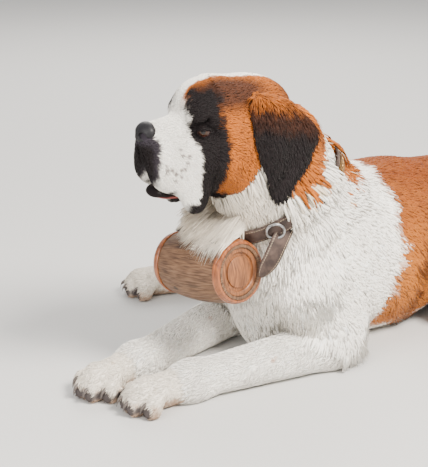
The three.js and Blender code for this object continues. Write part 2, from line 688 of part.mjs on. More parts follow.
// A paw of four toes, from its heel to its toe tip, and the claws of its toes.
function pawOf(heel, toe, lift, girth) {
  const t = point(toe);
  const ahead = t.clone().sub(point(heel)).setZ(0).normalize();
  const across = v3(-ahead.y, ahead.x, 0).multiplyScalar(-1);
  const g = girth;
  const shapes = [bone(heel, [toe[0] - ahead.x * 48 * g, toe[1] - ahead.y * 48 * g, 28 * g], lift, 35 * g)];
  const claws = [];
  for (const k of [-1.5, -0.5, 0.5, 1.5]) {
    const reach = Math.abs(k) > 1 ? 24 : 4;
    const tip = t.clone().addScaledVector(across, k * 27 * g).addScaledVector(ahead, -reach - 22).setZ(18 * g);
    const root = t.clone().addScaledVector(across, k * 20 * g).addScaledVector(ahead, -74 * g).setZ(40 * g);
    shapes.push(bone(root.toArray(), tip.toArray(), 17 * g, 18 * g));
    shapes.push(ellipsoid(tip.toArray(), [18 * g, 20 * g, 27 * g]));
    claws.push(clawOf(tip, ahead, g));
  }
  const field = blend(shapes, 9);
  const low = [Math.min(heel[0], toe[0]) - 90, Math.min(heel[1], toe[1]) - 40, -30];
  const high = [Math.max(heel[0], toe[0]) + 90, Math.max(heel[1], toe[1]) + 60, 120];
  return { field, low, high, claws, ahead };
}
function clawOf(tip, ahead, g) {
  const up = v3(0, 0, 1);
  const side = ahead.clone().cross(up);
  const section = (along, z, size) => ({
    at: tip.clone().addScaledVector(ahead, along).setZ(z),
    wide: side.clone().multiplyScalar(size * 0.8),
    thick: up.clone().multiplyScalar(size),
  });
  const face = 16 * g;
  return loft([
    section(face - 3, 30 * g, 4.6 * g), section(face + 4 + CLAW_LENGTH * 0.55, 24 * g, 3.6 * g),
    section(face + 4 + CLAW_LENGTH, 13 * g, 1.3),
  ], 6);
}
function addPaw(name, paw, cutAt, cutAway) {
  const whole = skin(paw.field, paw.low, paw.high, STEP.paw);
  const room = grown(whole);
  let made = onFloor(whole);
  if (cutAt) made = keep(made, cutAt, paw.ahead);
  for (const other of cutAway) made = made.subtract(other);
  made = largest(made);
  add(name, made, "white");
  paw.claws.forEach((claw, i) => add(name.replace("paw", "claw") + "_" + (i + 1), largest(claw.subtract(room)), "claw"));
  return [room, ...paw.claws.map((claw) => grown(claw))];
}

// Forelegs: a forearm from elbow to wrist, and a paw.
function foreleg(side, elbow, wrist, toe, others) {
  const name = side > 0 ? "left" : "right";
  const field = blend([
    bone(elbow, wrist, FOREARM_RADIUS + 6, FOREARM_RADIUS - 8),
    ellipsoid([elbow[0], elbow[1] + 10, elbow[2] - 4], [44, 44, 46]),
    ellipsoid(wrist, [40, 44, 36]),
  ], 25);
  const low = [Math.min(elbow[0], toe[0]) - 110, toe[1] - 60, -30];
  const high = [Math.max(elbow[0], toe[0]) + 110, elbow[1] + 90, 170];
  const paw = pawOf(wrist, toe, 34, 0.93);
  const cutAt = point(wrist).addScaledVector(paw.ahead, 14);
  let arm = onFloor(skin(field, low, high, STEP.limb));
  arm = keep(arm, cutAt, paw.ahead.clone().negate());
  for (const other of [torsoGrown, ...others]) arm = arm.subtract(other);
  add("forearm_" + name, largest(arm), "white");
  return addPaw("forepaw_" + name, paw, cutAt, others);
}
const leftPaw = foreleg(1, LIMB.leftElbow, LIMB.leftWrist, LIMB.leftToe, []);
foreleg(-1, LIMB.rightElbow, LIMB.rightWrist, LIMB.rightToe, leftPaw);

// Hind legs: the left one folded beside the rump, the right one out on the far side.
const thighLeftField = blend([
  bone(LIMB.leftHip, LIMB.leftKnee, 112, 62),
  bone(LIMB.leftKnee, LIMB.leftHock, 56, 36),
], 40);
const THIGH_LEFT_BOX = [[-40, 220, -40], [300, 660, 320]];
const thighLeftWhole = skin(thighLeftField, ...THIGH_LEFT_BOX, STEP.thigh);
const thighLeftGrown = grown(thighLeftWhole);
const breeches = [[200, 560, 150], [196, 596, 120], [206, 590, 76], [196, 520, 190]];
let thighLeft = withLocks(thighLeftWhole, thighLeftField, breeches, v3(0.1, 0.45, -0.88), LOCK.breeches);
const loinsRoom = grown(loins, 0.7);
thighLeft = onFloor(thighLeft).subtract(torsoGrown).subtract(loinsRoom);
add("thigh_left", largest(thighLeft), "russet");
addPaw("hindpaw_left", pawOf(LIMB.leftHindHeel, LIMB.leftHindToe, 30, 0.95), null, [thighLeftGrown, torsoGrown]);

const thighRightField = blend([
  bone(LIMB.rightHip, LIMB.rightKnee, 108, 62),
  ellipsoid([LIMB.rightKnee[0] + 30, LIMB.rightKnee[1] + 40, 84], [70, 90, 96]),
], 40);
const shankRightField = bone(LIMB.rightKnee, LIMB.rightHock, 56, 36);
const shankAxis = point(LIMB.rightHock).sub(point(LIMB.rightKnee)).normalize();
const shankTop = point(LIMB.rightKnee).addScaledVector(shankAxis, 46);
const hockCut = point(LIMB.rightHock).addScaledVector(shankAxis, 6);
const legRightField = blend([thighRightField, shankRightField], 30);
const legRightWhole = withLocks(skin(legRightField, [-420, 20, -50], [100, 660, 350], STEP.thigh), legRightField,
  [[-180, 470, 120], [-160, 510, 150], [-215, 400, 90]], v3(-0.1, 0.5, -0.86), LOCK.breeches);
const legRight = onFloor(legRightWhole).subtract(torsoGrown).subtract(loinsRoom).subtract(grown(chest, 0.7));
add("thigh_right", largest(keep(legRight, shankTop, shankAxis.clone().negate())), "russet");
add("shank_right", largest(keep(keep(legRight, shankTop, shankAxis), hockCut, shankAxis.clone().negate())), "russet");
const hindRight = pawOf(LIMB.rightHindHeel, LIMB.rightHindToe, 34, 0.95);
hindRight.field = blend([hindRight.field, bone(LIMB.rightHock, LIMB.rightHindHeel, 38, 36)], 15);
hindRight.high[1] += 40;
hindRight.ahead.copy(shankAxis);
addPaw("hindpaw_right", hindRight, hockCut, []);

// Tail: a thick brush laid on the floor behind, in three lengths.
const tailField = blend(TAIL_PATH.slice(1).map(([x, y, z, r], i) => {
  const [px, py, pz, pr] = TAIL_PATH[i];
  return bone([px, py, pz], [x, y, z], pr, r);
}), 18);
const plume = [[-20, 700, 90], [40, 745, 110], [20, 800, 30], [80, 790, 60], [70, 880, 20], [120, 930, 60],
  [140, 870, 40], [200, 950, 30], [230, 890, 30], [290, 940, 25], [330, 880, 20]];
const tailLie = (x, y, z) => {
  const near = TAIL_PATH.map(([a, b, c], i) => [Math.hypot(a - x, b - y, c - z), i]).sort((p, q) => p[0] - q[0])[0][1];
  const i = Math.min(near, TAIL_PATH.length - 2);
  return point(TAIL_PATH[i + 1].slice(0, 3)).sub(point(TAIL_PATH[i].slice(0, 3))).normalize();
};
const tailWhole = skin(tailField, [-80, 600, -30], [440, 1010, 260], STEP.tail);
const tail = onFloor(withLocks(tailWhole, tailField, plume, tailLie, LOCK.plume));
const tailCuts = [3, 5].map((i) => {
  const a = point(TAIL_PATH[i - 1].slice(0, 3));
  const b = point(TAIL_PATH[i + 1].slice(0, 3));
  return { at: point(TAIL_PATH[i].slice(0, 3)), along: b.sub(a).normalize() };
});
const tailRoot = keep(tail, tailCuts[0].at, tailCuts[0].along.clone().negate());
const tailRest = keep(tail, tailCuts[0].at, tailCuts[0].along);
add("tail_root", largest(tailRoot.subtract(torsoGrown).subtract(loinsRoom)), "russet");
add("tail_brush", largest(keep(tailRest, tailCuts[1].at, tailCuts[1].along.clone().negate())), "russet");
add("tail_tip", largest(keep(tailRest, tailCuts[1].at, tailCuts[1].along)), "white");

// The collar, its plate behind the ear, its buckle, the hangers of the keg and the loose strap end.
const wornRoom = [torsoGrown, kegRoom];
add("collar", largest(collar.subtract(torsoGrown).subtract(kegRoom)), "leather");
const plateRings = [24, 30, 36, 42, 48].map((deg) => {
  const { at, out } = onNeck(rad(deg), fullNeck);
  const corner = (along, off) => at.clone().addScaledVector(collarAxis, along).addScaledVector(out, off);
  const [inner, outer] = [COLLAR_THICKNESS + 2 * GAP, COLLAR_THICKNESS + 2 * GAP + 2];
  return [corner(-9, inner), corner(9, inner), corner(9, outer), corner(-9, outer)];
});
add("collar_plate", bandOf(plateRings, false).subtract(grown(collar)), "metal");
const buckleSpot = onNeck(rad(-42), fullNeck, COLLAR_THICKNESS + 5);
const buckleTurn = new THREE.Matrix4()
  .makeRotationFromQuaternion(new THREE.Quaternion().setFromUnitVectors(v3(0, 0, 1), buckleSpot.out))
  .setPosition(buckleSpot.at);
const buckle = solid(new THREE.TorusGeometry(17, 2.6, 5, 14), buckleTurn);
const clearOf = (made, others) => largest(others.reduce((left, other) => left.subtract(other), made));
add("buckle", clearOf(buckle, [grown(collar), grown(neck, 2.5), ...wornRoom]), "metal");
const strapOut = () => v3(0.93, -0.32, 0.16);
const strapEnd = strapOf([
  v3(99, -122, 322), v3(107, -146, 300), v3(110, -168, 272), v3(109, -184, 246), v3(106, -192, 232), v3(103, -198, 218),
], [14, 14, 14, 14, 12, 2], strapOut, 4);
const hangers = [1, -1].map((s) => {
  const { at } = onNeck(rad(-90 + s * 24), fullNeck, COLLAR_THICKNESS + 1);
  const over = (y, z) => v3(8 + s * 46, y, z);
  return strapOf([at, over(-206, 283), over(-228, 284), over(-250, 283), over(-270, 276)], [9, 9, 9, 9, 9],
    () => v3(0, 0, 1), 3.5);
});
add("strap_end", clearOf(strapEnd, [grown(collar), grown(buckle), ...wornRoom, grown(neckWhole)]), "leather");
hangers.forEach((made, i) => {
  add("hanger_" + ["left", "right"][i],
    clearOf(made, [grown(collar), grown(buckle), grown(neckWhole), ...wornRoom]), "leather");
});

export default dog;
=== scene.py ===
"""Saint Bernard lying on its chest with a keg on its collar: skin, coat, eyes, claws and what it wears.

Lengths in the code are millimetres, as in the part's source, and turn into metres when a mesh is made.
"""

import logging
import math
from dataclasses import dataclass, field
from enum import Enum
from typing import Callable, NamedTuple, Optional, Sequence

import bmesh
import bpy
import numpy as np
from mathutils import Matrix, Vector


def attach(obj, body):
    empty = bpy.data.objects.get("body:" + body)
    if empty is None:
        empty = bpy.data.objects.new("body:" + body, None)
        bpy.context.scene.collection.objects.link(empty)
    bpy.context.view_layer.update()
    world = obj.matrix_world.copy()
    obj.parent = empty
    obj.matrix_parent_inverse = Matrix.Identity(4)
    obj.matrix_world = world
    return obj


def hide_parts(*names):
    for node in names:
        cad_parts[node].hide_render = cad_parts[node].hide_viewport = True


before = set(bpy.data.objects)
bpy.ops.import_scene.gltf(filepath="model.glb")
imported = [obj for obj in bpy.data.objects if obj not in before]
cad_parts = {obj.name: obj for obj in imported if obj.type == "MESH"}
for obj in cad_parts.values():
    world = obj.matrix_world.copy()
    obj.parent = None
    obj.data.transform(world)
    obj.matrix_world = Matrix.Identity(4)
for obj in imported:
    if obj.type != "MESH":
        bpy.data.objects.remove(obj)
LOG = logging.getLogger("saint_bernard")
BODY = "root"
METRES = 0.001
SEED = 4117
FLOOR_GAP = 0.8

Array = np.ndarray
Field = Callable[[Array], Array]
Colour = tuple[float, float, float]
Point = tuple[float, float, float]


# Fields.
def unit(v: Array) -> Array:
    """Return the vectors of the last axis at length one."""
    return v / np.maximum(np.linalg.norm(v, axis=-1, keepdims=True), 1e-9)


def ramp(value: Array, low: float, high: float) -> Array:
    """Return 0 at low, 1 at high and a smooth step between them."""
    t = np.clip((value - low) / (high - low), 0, 1)
    return t * t * (3 - 2 * t)


def ripple(p: Array, size: float, phase: float = 0.0) -> Array:
    """Return a soft seeded unevenness from -1 to 1 with lumps of about the given size."""
    x, y, z = (p[:, i] * (2 * math.pi / size) for i in range(3))
    wave = np.sin(x + 1.7 * np.sin(y * 0.63 + phase) + phase)
    wave = wave + np.sin(y * 1.13 + 1.9 * np.sin(z * 0.71 + phase))
    wave = wave + np.sin(z * 0.91 + 1.6 * np.sin(x * 0.83 - phase) + 2 * phase)
    return wave / 3


def ellipsoid(centre: Sequence[float], radii: Sequence[float], tilt: float = 0.0) -> Field:
    """Return the distance to an ellipsoid, tilted about x by some degrees."""
    c, r = np.array(centre, float), np.array(radii, float)
    ca, sa = math.cos(math.radians(tilt)), math.sin(math.radians(tilt))

    def distance(p: Array) -> Array:
        """Return the signed distance of each point, negative inside."""
        q = p - c
        if tilt:
            q = np.stack([q[:, 0], ca * q[:, 1] + sa * q[:, 2], ca * q[:, 2] - sa * q[:, 1]], 1)
        k0 = np.sqrt(((q / r) ** 2).sum(1))
        k1 = np.sqrt(((q / (r * r)) ** 2).sum(1))
        return np.where(k1 < 1e-9, -r.min(), k0 * (k0 - 1) / np.maximum(k1, 1e-9))

    return distance


def bone(start: Sequence[float], end: Sequence[float], r0: float, r1: float) -> Field:
    """Return the distance to a tapered bar with round ends."""
    a, d = np.array(start, float), np.array(end, float) - np.array(start, float)

    def distance(p: Array) -> Array:
        """Return the signed distance of each point, negative inside."""
        t = np.clip((p - a) @ d / (d @ d), 0, 1)
        return np.linalg.norm(p - a - t[:, None] * d, axis=1) - (r0 + t * (r1 - r0))

    return distance


def soften(a: Array, b: Array, softness: float) -> Array:
    """Return the smaller of two distances with a soft joint between them."""
    h = np.maximum(softness - np.abs(a - b), 0) / softness
    return np.minimum(a, b) - h * h * softness / 4


def blend(shapes: Sequence[Field], softness: float) -> Field:
    """Return the soft union of fields."""

    def distance(p: Array) -> Array:
        """Return the signed distance of each point to the union."""
        d = shapes[0](p)
        for shape in shapes[1:]:
            d = soften(d, shape(p), softness)
        return d

    return distance


def carve(shape: Field, tool: Field, softness: float) -> Field:
    """Return one field with another cut out of it."""
    return lambda p: -soften(-shape(p), tool(p), softness)


def slope(shape: Field, p: Array, h: float = 1.2) -> Array:
    """Return the outward unit normal of a field at each point."""
    ways = np.array([[1, -1, -1], [-1, -1, 1], [-1, 1, -1], [1, 1, 1]], float)
    return unit(sum(w * shape(p + h * w)[:, None] for w in ways))


def settle(shape: Field, p: Array, level: Array | float, rounds: int = 3) -> Array:
    """Move points along the field until they lie at a level of it."""
    for _ in range(rounds):
        gap = np.clip(level - shape(p), -12, 12)
        p = p + gap[:, None] * slope(shape, p)
    return p


# The dog's form.
class Part(Enum):
    """The parts of the body that the coat tells apart."""

    TORSO = 0
    NECK = 1
    HEAD = 2
    FORELEG = 3
    FOREPAW = 4
    THIGH = 5
    SHANK = 6
    HINDPAW = 7
    TAIL = 8


@dataclass
class HeadFrame:
    """The head's own frame: u out of the muzzle, v to the dog's left, w up, from between the eyes."""

    at: Point = (27, -283, 491)
    yaw: float = 12
    pitch: float = 1
    scale: float = 0.96
    turn: Array = field(init=False)

    def __post_init__(self) -> None:
        """Work out the turn of the frame."""
        turn = Matrix.Rotation(math.radians(-90 - self.yaw), 3, "Z") @ Matrix.Rotation(
            math.radians(-self.pitch), 3, "Y")
        self.turn = np.array(turn)

    def local(self, p: Array) -> Array:
        """Return points of the model in the head's frame."""
        return (p - np.array(self.at)) @ self.turn / self.scale

    def place(self, q: Array) -> Array:
        """Return points of the head's frame in the model."""
        return np.asarray(q, float) * self.scale @ self.turn.T + np.array(self.at)

    def aim(self, q: Array) -> Array:
        """Return directions of the head's frame in the model."""
        return unit(np.asarray(q, float) @ self.turn.T)


HEAD = HeadFrame()
EYE_RADIUS = 12.5


@dataclass(frozen=True)
class Paw:
    """One paw: the start of its claws' names, its ends, its thickness at the heel and its size."""

    claw: str
    side: str
    heel: Point
    toe: Point
    lift: float
    girth: float

    def toe_line(self) -> tuple[Array, Array, list[Array], list[Array]]:
        """Return the paw's way ahead and across, its toe tips and its toe roots."""
        ahead = np.array([self.toe[0] - self.heel[0], self.toe[1] - self.heel[1], 0.0])
        ahead = ahead / np.linalg.norm(ahead)
        across = np.array([ahead[1], -ahead[0], 0.0])
        tips, roots = [], []
        for k in (-1.5, -0.5, 0.5, 1.5):
            reach = 24 if abs(k) > 1 else 4
            tip = np.array(self.toe, float) + across * k * 27 * self.girth - ahead * (reach + 22)
            root = np.array(self.toe, float) + across * k * 20 * self.girth - ahead * 74 * self.girth
            tip[2], root[2] = 18 * self.girth, 40 * self.girth
            tips.append(tip)
            roots.append(root)
        return ahead, across, tips, roots

    def shape(self) -> Field:
        """Return the distance to the paw: a palm and four toes."""
        ahead, _, tips, roots = self.toe_line()
        palm = np.array(self.toe) - ahead * 48 * self.girth
        palm[2] = 28 * self.girth
        shapes = [bone(self.heel, palm, self.lift, 35 * self.girth)]
        for tip, root in zip(tips, roots):
            shapes.append(bone(root, tip, 16 * self.girth, 17.5 * self.girth))
            shapes.append(ellipsoid(tip, (17.5 * self.girth, 20 * self.girth, 26 * self.girth)))
        return blend(shapes, 6)


@dataclass
class Anatomy:
    """The dog's body as distance fields, from the same sizes as the solids."""

    elbows: tuple[Point, Point] = ((124, -48, 44), (-124, -66, 44))
    wrists: tuple[Point, Point] = ((64, -330, 33), (-66, -352, 33))
    toes: tuple[Point, Point] = ((38, -474, 0), (-50, -500, 0))
    left_hip: Point = (96, 505, 150)
    left_knee: Point = (168, 330, 84)
    left_hock: Point = (186, 545, 36)
    left_heel: Point = (208, 500, 27)
    left_hind_toe: Point = (220, 256, 0)
    right_hip: Point = (-80, 480, 175)
    right_knee: Point = (-222, 310, 160)
    right_hock: Point = (-325, 100, 60)
    right_heel: Point = (-335, 70, 40)
    right_hind_toe: Point = (-436, -112, 0)
    tail: tuple[tuple[float, float, float, float], ...] = (
        (0, 672, 180, 42), (8, 735, 118, 46), (34, 800, 66, 48), (90, 868, 40, 47),
        (170, 915, 36, 45), (262, 926, 32, 40), (340, 900, 22, 28), (374, 882, 14, 14))

    def __post_init__(self) -> None:
        """Build the fields of the parts."""
        sides = (1, -1)
        self.torso = blend([
            ellipsoid((0, 205, 163), (156, 265, 179)), ellipsoid((0, 60, 225), (112, 150, 128)),
            ellipsoid((0, -46, 152), (106, 116, 176)), ellipsoid((0, 40, 60), (70, 110, 82)),
            *(ellipsoid((s * 96, 0, 180), (62, 98, 140), 20) for s in sides),
            *(bone((s * 108, -82, 150), (s * 126, -18, 66), 62, 50) for s in sides),
            ellipsoid((-6, 420, 148), (128, 165, 162)), ellipsoid((-6, 580, 146), (134, 125, 170))], 55)
        self.neck = blend([
            bone((0, 0, 262), HEAD.place((-160, 0, -58)), 122, 94),
            bone((0, -84, 205), HEAD.place((-112, 0, -92)), 90, 80)], 50)
        self.face = self.make_face()
        self.forelegs = [self.make_foreleg(i) for i in (0, 1)]
        self.paws = (Paw("foreclaw", "left", self.wrists[0], self.toes[0], 34, 0.93),
                     Paw("foreclaw", "right", self.wrists[1], self.toes[1], 34, 0.93),
                     Paw("hindclaw", "left", self.left_heel, self.left_hind_toe, 30, 0.95),
                     Paw("hindclaw", "right", self.right_heel, self.right_hind_toe, 34, 0.95))
        shapes = [paw.shape() for paw in self.paws]
        self.forepaws, self.hindpaws = shapes[:2], shapes[2:]
        knee = self.right_knee
        self.thighs = [
            blend([bone(self.left_hip, self.left_knee, 112, 62),
                   bone(self.left_knee, self.left_hock, 56, 36)], 40),
            blend([bone(self.right_hip, knee, 108, 62),
                   ellipsoid((knee[0] + 30, knee[1] + 40, 84), (70, 90, 96))], 40)]
        self.shank = blend([bone(knee, self.right_hock, 56, 36),
                            bone(self.right_hock, self.right_heel, 38, 36)], 15)
        self.brush = blend([bone(a[:3], b[:3], a[3], b[3]) for a, b in zip(self.tail, self.tail[1:])], 18)

    def make_face(self) -> Field:
        """Return the head: skull, cheeks, muzzle, flews, folds, lids and jaw."""
        sides = (1, -1)
        skull = blend([
            ellipsoid((-92, 0, 14), (104, 80, 76)), ellipsoid((-14, 0, 36), (58, 58, 52)),
            *(ellipsoid((-80, s * 42, -48), (74, 42, 78)) for s in sides),
            *(ellipsoid((8, s * 38, 22), (28, 24, 18)) for s in sides)], 30)
        muzzle = blend([
            ellipsoid((54, 0, -34), (58, 46, 42)), bone((35, 0, -6), (93, 0, -9), 31, 24),
            ellipsoid((96, 0, -36), (23, 27, 32)),
            *(ellipsoid((62, s * 26, -64), (52, 28, 52), s * 6) for s in sides),
            *(ellipsoid((24, s * 36, -100), (34, 22, 56), s * 6) for s in sides),
            *(ellipsoid((4, s * 43, -46), (32, 22, 38)) for s in sides)], 20)
        throat = bone((-30, 0, -98), (-110, 0, -104), 38, 56)
        shape = blend([skull, muzzle, throat], 26)
        mouth = blend([ellipsoid((84, 0, -122), (54, 25, 28)), ellipsoid((30, 0, -126), (60, 18, 22))], 10)
        shape = carve(shape, mouth, 6)
        jaw = blend([bone((0, 0, -118), (62, 0, -117), 20, 17), ellipsoid((80, 0, -113), (24, 23, 16))], 12)
        grooves = [(bone((112, 0, -30), (112, 0, -82), 3, 3), 6)]
        for s in sides:
            shape = carve(shape, ellipsoid((16, s * 56, -2), (16, 15, 11)), 9)
            shape = blend([shape, ellipsoid((9, s * 45.5, -1), (17.0, 15.2, 15.0))], 5)
            shape = carve(shape, ellipsoid((16.0, s * 60, -4.2), (7.8, 13, 1.6)), 2.0)
            grooves += [(bone((32, s * 42, 6), (10, s * 56, 22), 2.0, 1.6), 8),
                        (bone((14, s * 10, 44), (34, s * 7, 22), 3, 2), 9)]
        for tool, softness in grooves:
            shape = carve(shape, tool, softness)
        both = blend([shape, jaw], 3)
        return lambda p: HEAD.scale * both(HEAD.local(p))

    def make_foreleg(self, i: int) -> Field:
        """Return one forearm from elbow to wrist."""
        elbow, wrist = self.elbows[i], self.wrists[i]
        return blend([bone(elbow, wrist, 50, 36),
                      ellipsoid((elbow[0], elbow[1] + 10, elbow[2] - 4), (44, 44, 46)),
                      ellipsoid(wrist, (40, 44, 36))], 25)

    def parts(self, p: Array) -> dict[Part, Array]:
        """Return the distance of each point to each part."""
        return {
            Part.TORSO: self.torso(p), Part.NECK: self.neck(p), Part.HEAD: self.face(p),
            Part.FORELEG: np.minimum(*(f(p) for f in self.forelegs)),
            Part.FOREPAW: np.minimum(*(f(p) for f in self.forepaws)),
            Part.THIGH: np.minimum(*(f(p) for f in self.thighs)), Part.SHANK: self.shank(p),
            Part.HINDPAW: np.minimum(*(f(p) for f in self.hindpaws)), Part.TAIL: self.brush(p)}

    @staticmethod
    def run_together(d: dict[Part, Array]) -> Array:
        """Return the distance to the whole dog from the distances to its parts."""
        trunk = soften(soften(d[Part.TORSO], d[Part.NECK], 40), d[Part.HEAD], 12)
        fore = soften(d[Part.FORELEG], d[Part.FOREPAW], 16)
        hind = soften(soften(d[Part.THIGH], d[Part.SHANK], 30), d[Part.HINDPAW], 14)
        return soften(trunk, np.minimum(np.minimum(fore, hind), d[Part.TAIL]), 24)

    def part_at(self, p: Array) -> Array:
        """Return the value of the nearest part for each point."""
        d = self.parts(p)
        keys = list(d)
        return np.array([k.value for k in keys])[np.argmin(np.stack([d[k] for k in keys]), 0)]


DOG = Anatomy()


# Markings.
@dataclass(frozen=True)
class Palette:
    """The coat's colours, linear."""

    white: Colour = (0.95, 0.915, 0.85)
    cream: Colour = (0.74, 0.62, 0.46)
    golden: Colour = (0.41, 0.130, 0.017)
    russet: Colour = (0.205, 0.048, 0.008)
    orange: Colour = (0.41, 0.112, 0.012)
    brown: Colour = (0.055, 0.018, 0.008)
    black: Colour = (0.0085, 0.0055, 0.006)
    slate: Colour = (0.034, 0.028, 0.036)
    pink: Colour = (0.34, 0.095, 0.085)
    rust: Colour = (0.40, 0.22, 0.12)


PALETTE = Palette()


def paint(base: Array, colour: Colour, mask: Array) -> Array:
    """Return the colours with another laid over them by a mask from 0 to 1."""
    m = np.clip(mask, 0, 1)[:, None]
    return base * (1 - m) + np.array(colour) * m


def lay(base: Array, over: Array, mask: Array) -> Array:
    """Return one set of colours with another laid over it by a mask."""
    m = mask[:, None]
    return base * (1 - m) + over * m


def near(q: Array, centre: Point, radii: Point, edge: float = 0.25) -> Array:
    """Return 1 inside an ellipsoid, 0 outside and a soft edge between."""
    k = np.sqrt((((q - np.array(centre)) / np.array(radii)) ** 2).sum(1))
    return 1 - ramp(k, 1 - edge, 1 + edge)


def toe_pads(p: Array) -> Array:
    """Return 1 on the bare pads at the front of the toes and 0 elsewhere."""
    mask = np.zeros(len(p))
    for paw in DOG.paws:
        ahead, _, tips, _ = paw.toe_line()
        for tip in tips:
            spot = tip + ahead * 18 * paw.girth
            spot[2] = 14
            mask = np.maximum(mask, near(p, tuple(spot), (16.5, 16.5, 14.0), 0.12))
    return mask


@dataclass(frozen=True)
class Markings:
    """The dog's markings over the whole body, from which skin and coat both take their colours."""

    palette: Palette = PALETTE
    muzzle_freckles: int = 34
    leg_freckles: int = 46
    pad_grey: Colour = (0.085, 0.072, 0.07)
    haw_red: Colour = (0.24, 0.035, 0.03)

    def colours(self, p: Array, part: Array) -> Array:
        """Return the coat's colour at points of the body.

        Args:
            p: The points.
            part: The Part value at each point.

        Returns:
            One linear colour for each point.
        """
        on = {k: (part == k.value).astype(float) for k in Part}
        rough = ripple(p, 46, 0.4) * 9 + ripple(p, 17, 1.9) * 4
        grain = ripple(p, 20, 0.7) * 3.5 + ripple(p, 8, 2.2) * 1.8
        col = self.neck(p, on, rough, self.body(p, on, rough))
        col = lay(col, self.face(HEAD.local(p), grain), on[Part.HEAD])
        col = self.freckles(p, on, col)
        return self.paws(p, on, grain, col)

    def body(self, p: Array, on: dict[Part, Array], rough: Array) -> Array:
        """Return the trunk, legs and tail: white in front, golden to russet behind, with a white tail tip."""
        c = self.palette
        x, y, z = p[:, 0], p[:, 1], p[:, 2]
        streaks = 26 * ripple(p * np.array([1, 0.3, 1]), 19, 2.2)
        coat = paint(np.tile(np.array(c.golden), (len(p), 1)), c.russet,
                     ramp(z + 0.22 * (y - 200) + rough * 2 + streaks, 130, 370))
        saddle = ramp(y + 0.18 * (330 - z) + rough, 118, 138) * ramp(z + rough, 22, 60)
        col = lay(np.tile(np.array(c.white), (len(p), 1)), coat, saddle * on[Part.TORSO])
        col = lay(col, paint(coat, c.cream, 0.7 * ramp(60 - z + rough, 10, 50)), on[Part.THIGH])
        col = lay(col, coat, on[Part.SHANK] * ramp(y + rough, 96, 118))
        col = lay(col, coat, on[Part.TAIL])
        return paint(col, c.white, on[Part.TAIL] * ramp(x + rough, 262, 300))

    def neck(self, p: Array, on: dict[Part, Array], rough: Array, col: Array) -> Array:
        """Paint the neck: a cream throat, and orange on the nape, the crest and behind the ears."""
        c = self.palette
        y, z = p[:, 1], p[:, 2]
        neck = on[Part.NECK]
        throat = ramp(-y - 0.5 * z + rough, -80, 60)
        col = paint(col, c.cream, neck * 0.55 * throat * ramp(z, 260, 330))
        nape = near(p, (30, 36, 420), (104, 92, 84), 0.3) + 0.16 * ripple(p, 11, 1.4)
        col = paint(col, c.orange, np.maximum(neck, on[Part.TORSO]) * ramp(nape, 0.44, 0.58))
        crest = near(HEAD.local(p), (-176, 20, 10), (66, 104, 84), 0.3)
        behind_ear = near(HEAD.local(p), (-168, 78, -60), (48, 50, 62), 0.4)
        streak = ramp(ripple(p * np.array([1, 1, 0.35]), 26, 3.1), 0.45, 0.8) * ramp(y, -150, -40)
        tan = np.maximum(np.maximum(crest, behind_ear), 0.6 * streak) + 0.16 * ripple(p, 9, 4.0)
        col = paint(col, c.cream, neck * ramp(tan, 0.30, 0.46))
        return paint(col, c.orange, neck * ramp(tan, 0.48, 0.62))

    def face(self, q: Array, grain: Array) -> Array:
        """Return the head's colours in its own frame: orange, black mask, white blaze and muzzle, dark lips."""
        c = self.palette
        u, v, w = q[:, 0], q[:, 1], q[:, 2]
        av = np.abs(v)
        mirrored = np.stack([u, av, w], 1)
        face = np.tile(np.array(c.orange), (len(q), 1))
        for side in (1, -1):
            brow = near(q, (-34, side * 46, 64), (66, 32, 36), 0.45) * (side * v > 0)
            face = paint(face, c.brown, 0.95 * brow)
        face = paint(face, c.brown, 0.55 * ramp(-u + w * 0.4 + grain, 130, 190))
        front = 22 + 20 * ramp(w, -46, 0) - 10 * ramp(w, 34, 66)
        rear = -24 + 14 * ramp(w, -30, 40)
        face = paint(face, c.white, ramp(u - front - grain, -12, -5) * ramp(w, 60, 30))
        mask = ramp(front - u + grain, -1, 5) * ramp(u - rear + grain, -6, 6) * ramp(84 - w + grain, 0, 22)
        face = paint(face, c.black, mask * ramp(av, 11, 16))
        jaw_edge = ramp(-w + grain, 112, 126) * ramp(u + grain, -70, -44) * ramp(60 - u, 0, 8)
        face = paint(face, c.black, jaw_edge)
        face = paint(face, c.cream, ramp(-w + 0.6 * (-u - 70) + grain, 94, 124) * ramp(-u + grain, 44, 66))
        half_blaze = 14 + 4 * ramp(w, 20, 60) - 5 * ramp(-u, 90, 160)
        blaze = ramp(half_blaze - np.abs(v + 8) + grain * 0.8, -2, 3) * ramp(w + 0.5 * u, -10, 24)
        face = paint(face, c.white, blaze * ramp(u + 175, 0, 30))
        muzzle = ramp(u - front - grain, -1, 4) * ramp(w + 158 + 0.25 * u + grain, 0, 7)
        face = paint(face, c.white, muzzle)
        nose_side = 92 - 0.10 * (w + 20) + 10 * ramp(w, -22, -4)
        face = paint(face, c.slate, ramp(u - nose_side + grain * 0.8, -4, 7) * ramp(w, 16, 4))
        face = paint(face, c.black, ramp(u - 104 + grain * 0.6, -3, 5) * ramp(-w, 18, 30))
        lip = ramp(-w - 0.52 * u + grain * 0.5, 64, 71) * ramp(u, 60, 74)
        corner = ramp(-w + grain * 0.6, 126, 134) * ramp(u, -4, 6) * ramp(50 - u, 0, 14)
        face = paint(face, c.black, np.maximum(lip, corner))
        inner = ramp(26 - av, 0, 8) * ramp(-w, 92, 100) * ramp(u, 0, 20)
        face = paint(face, c.black, inner)
        face = paint(face, c.pink, inner * ramp(u, 20, 40) * ramp(90 - u, 0, 8) * ramp(14 - av, 0, 6))
        face = paint(face, c.black, near(mirrored, (13, 57, -3), (15, 9, 9.5), 0.3))
        return paint(face, self.haw_red, near(mirrored, (18, 55, -8.0), (7.0, 6, 1.9), 0.3))

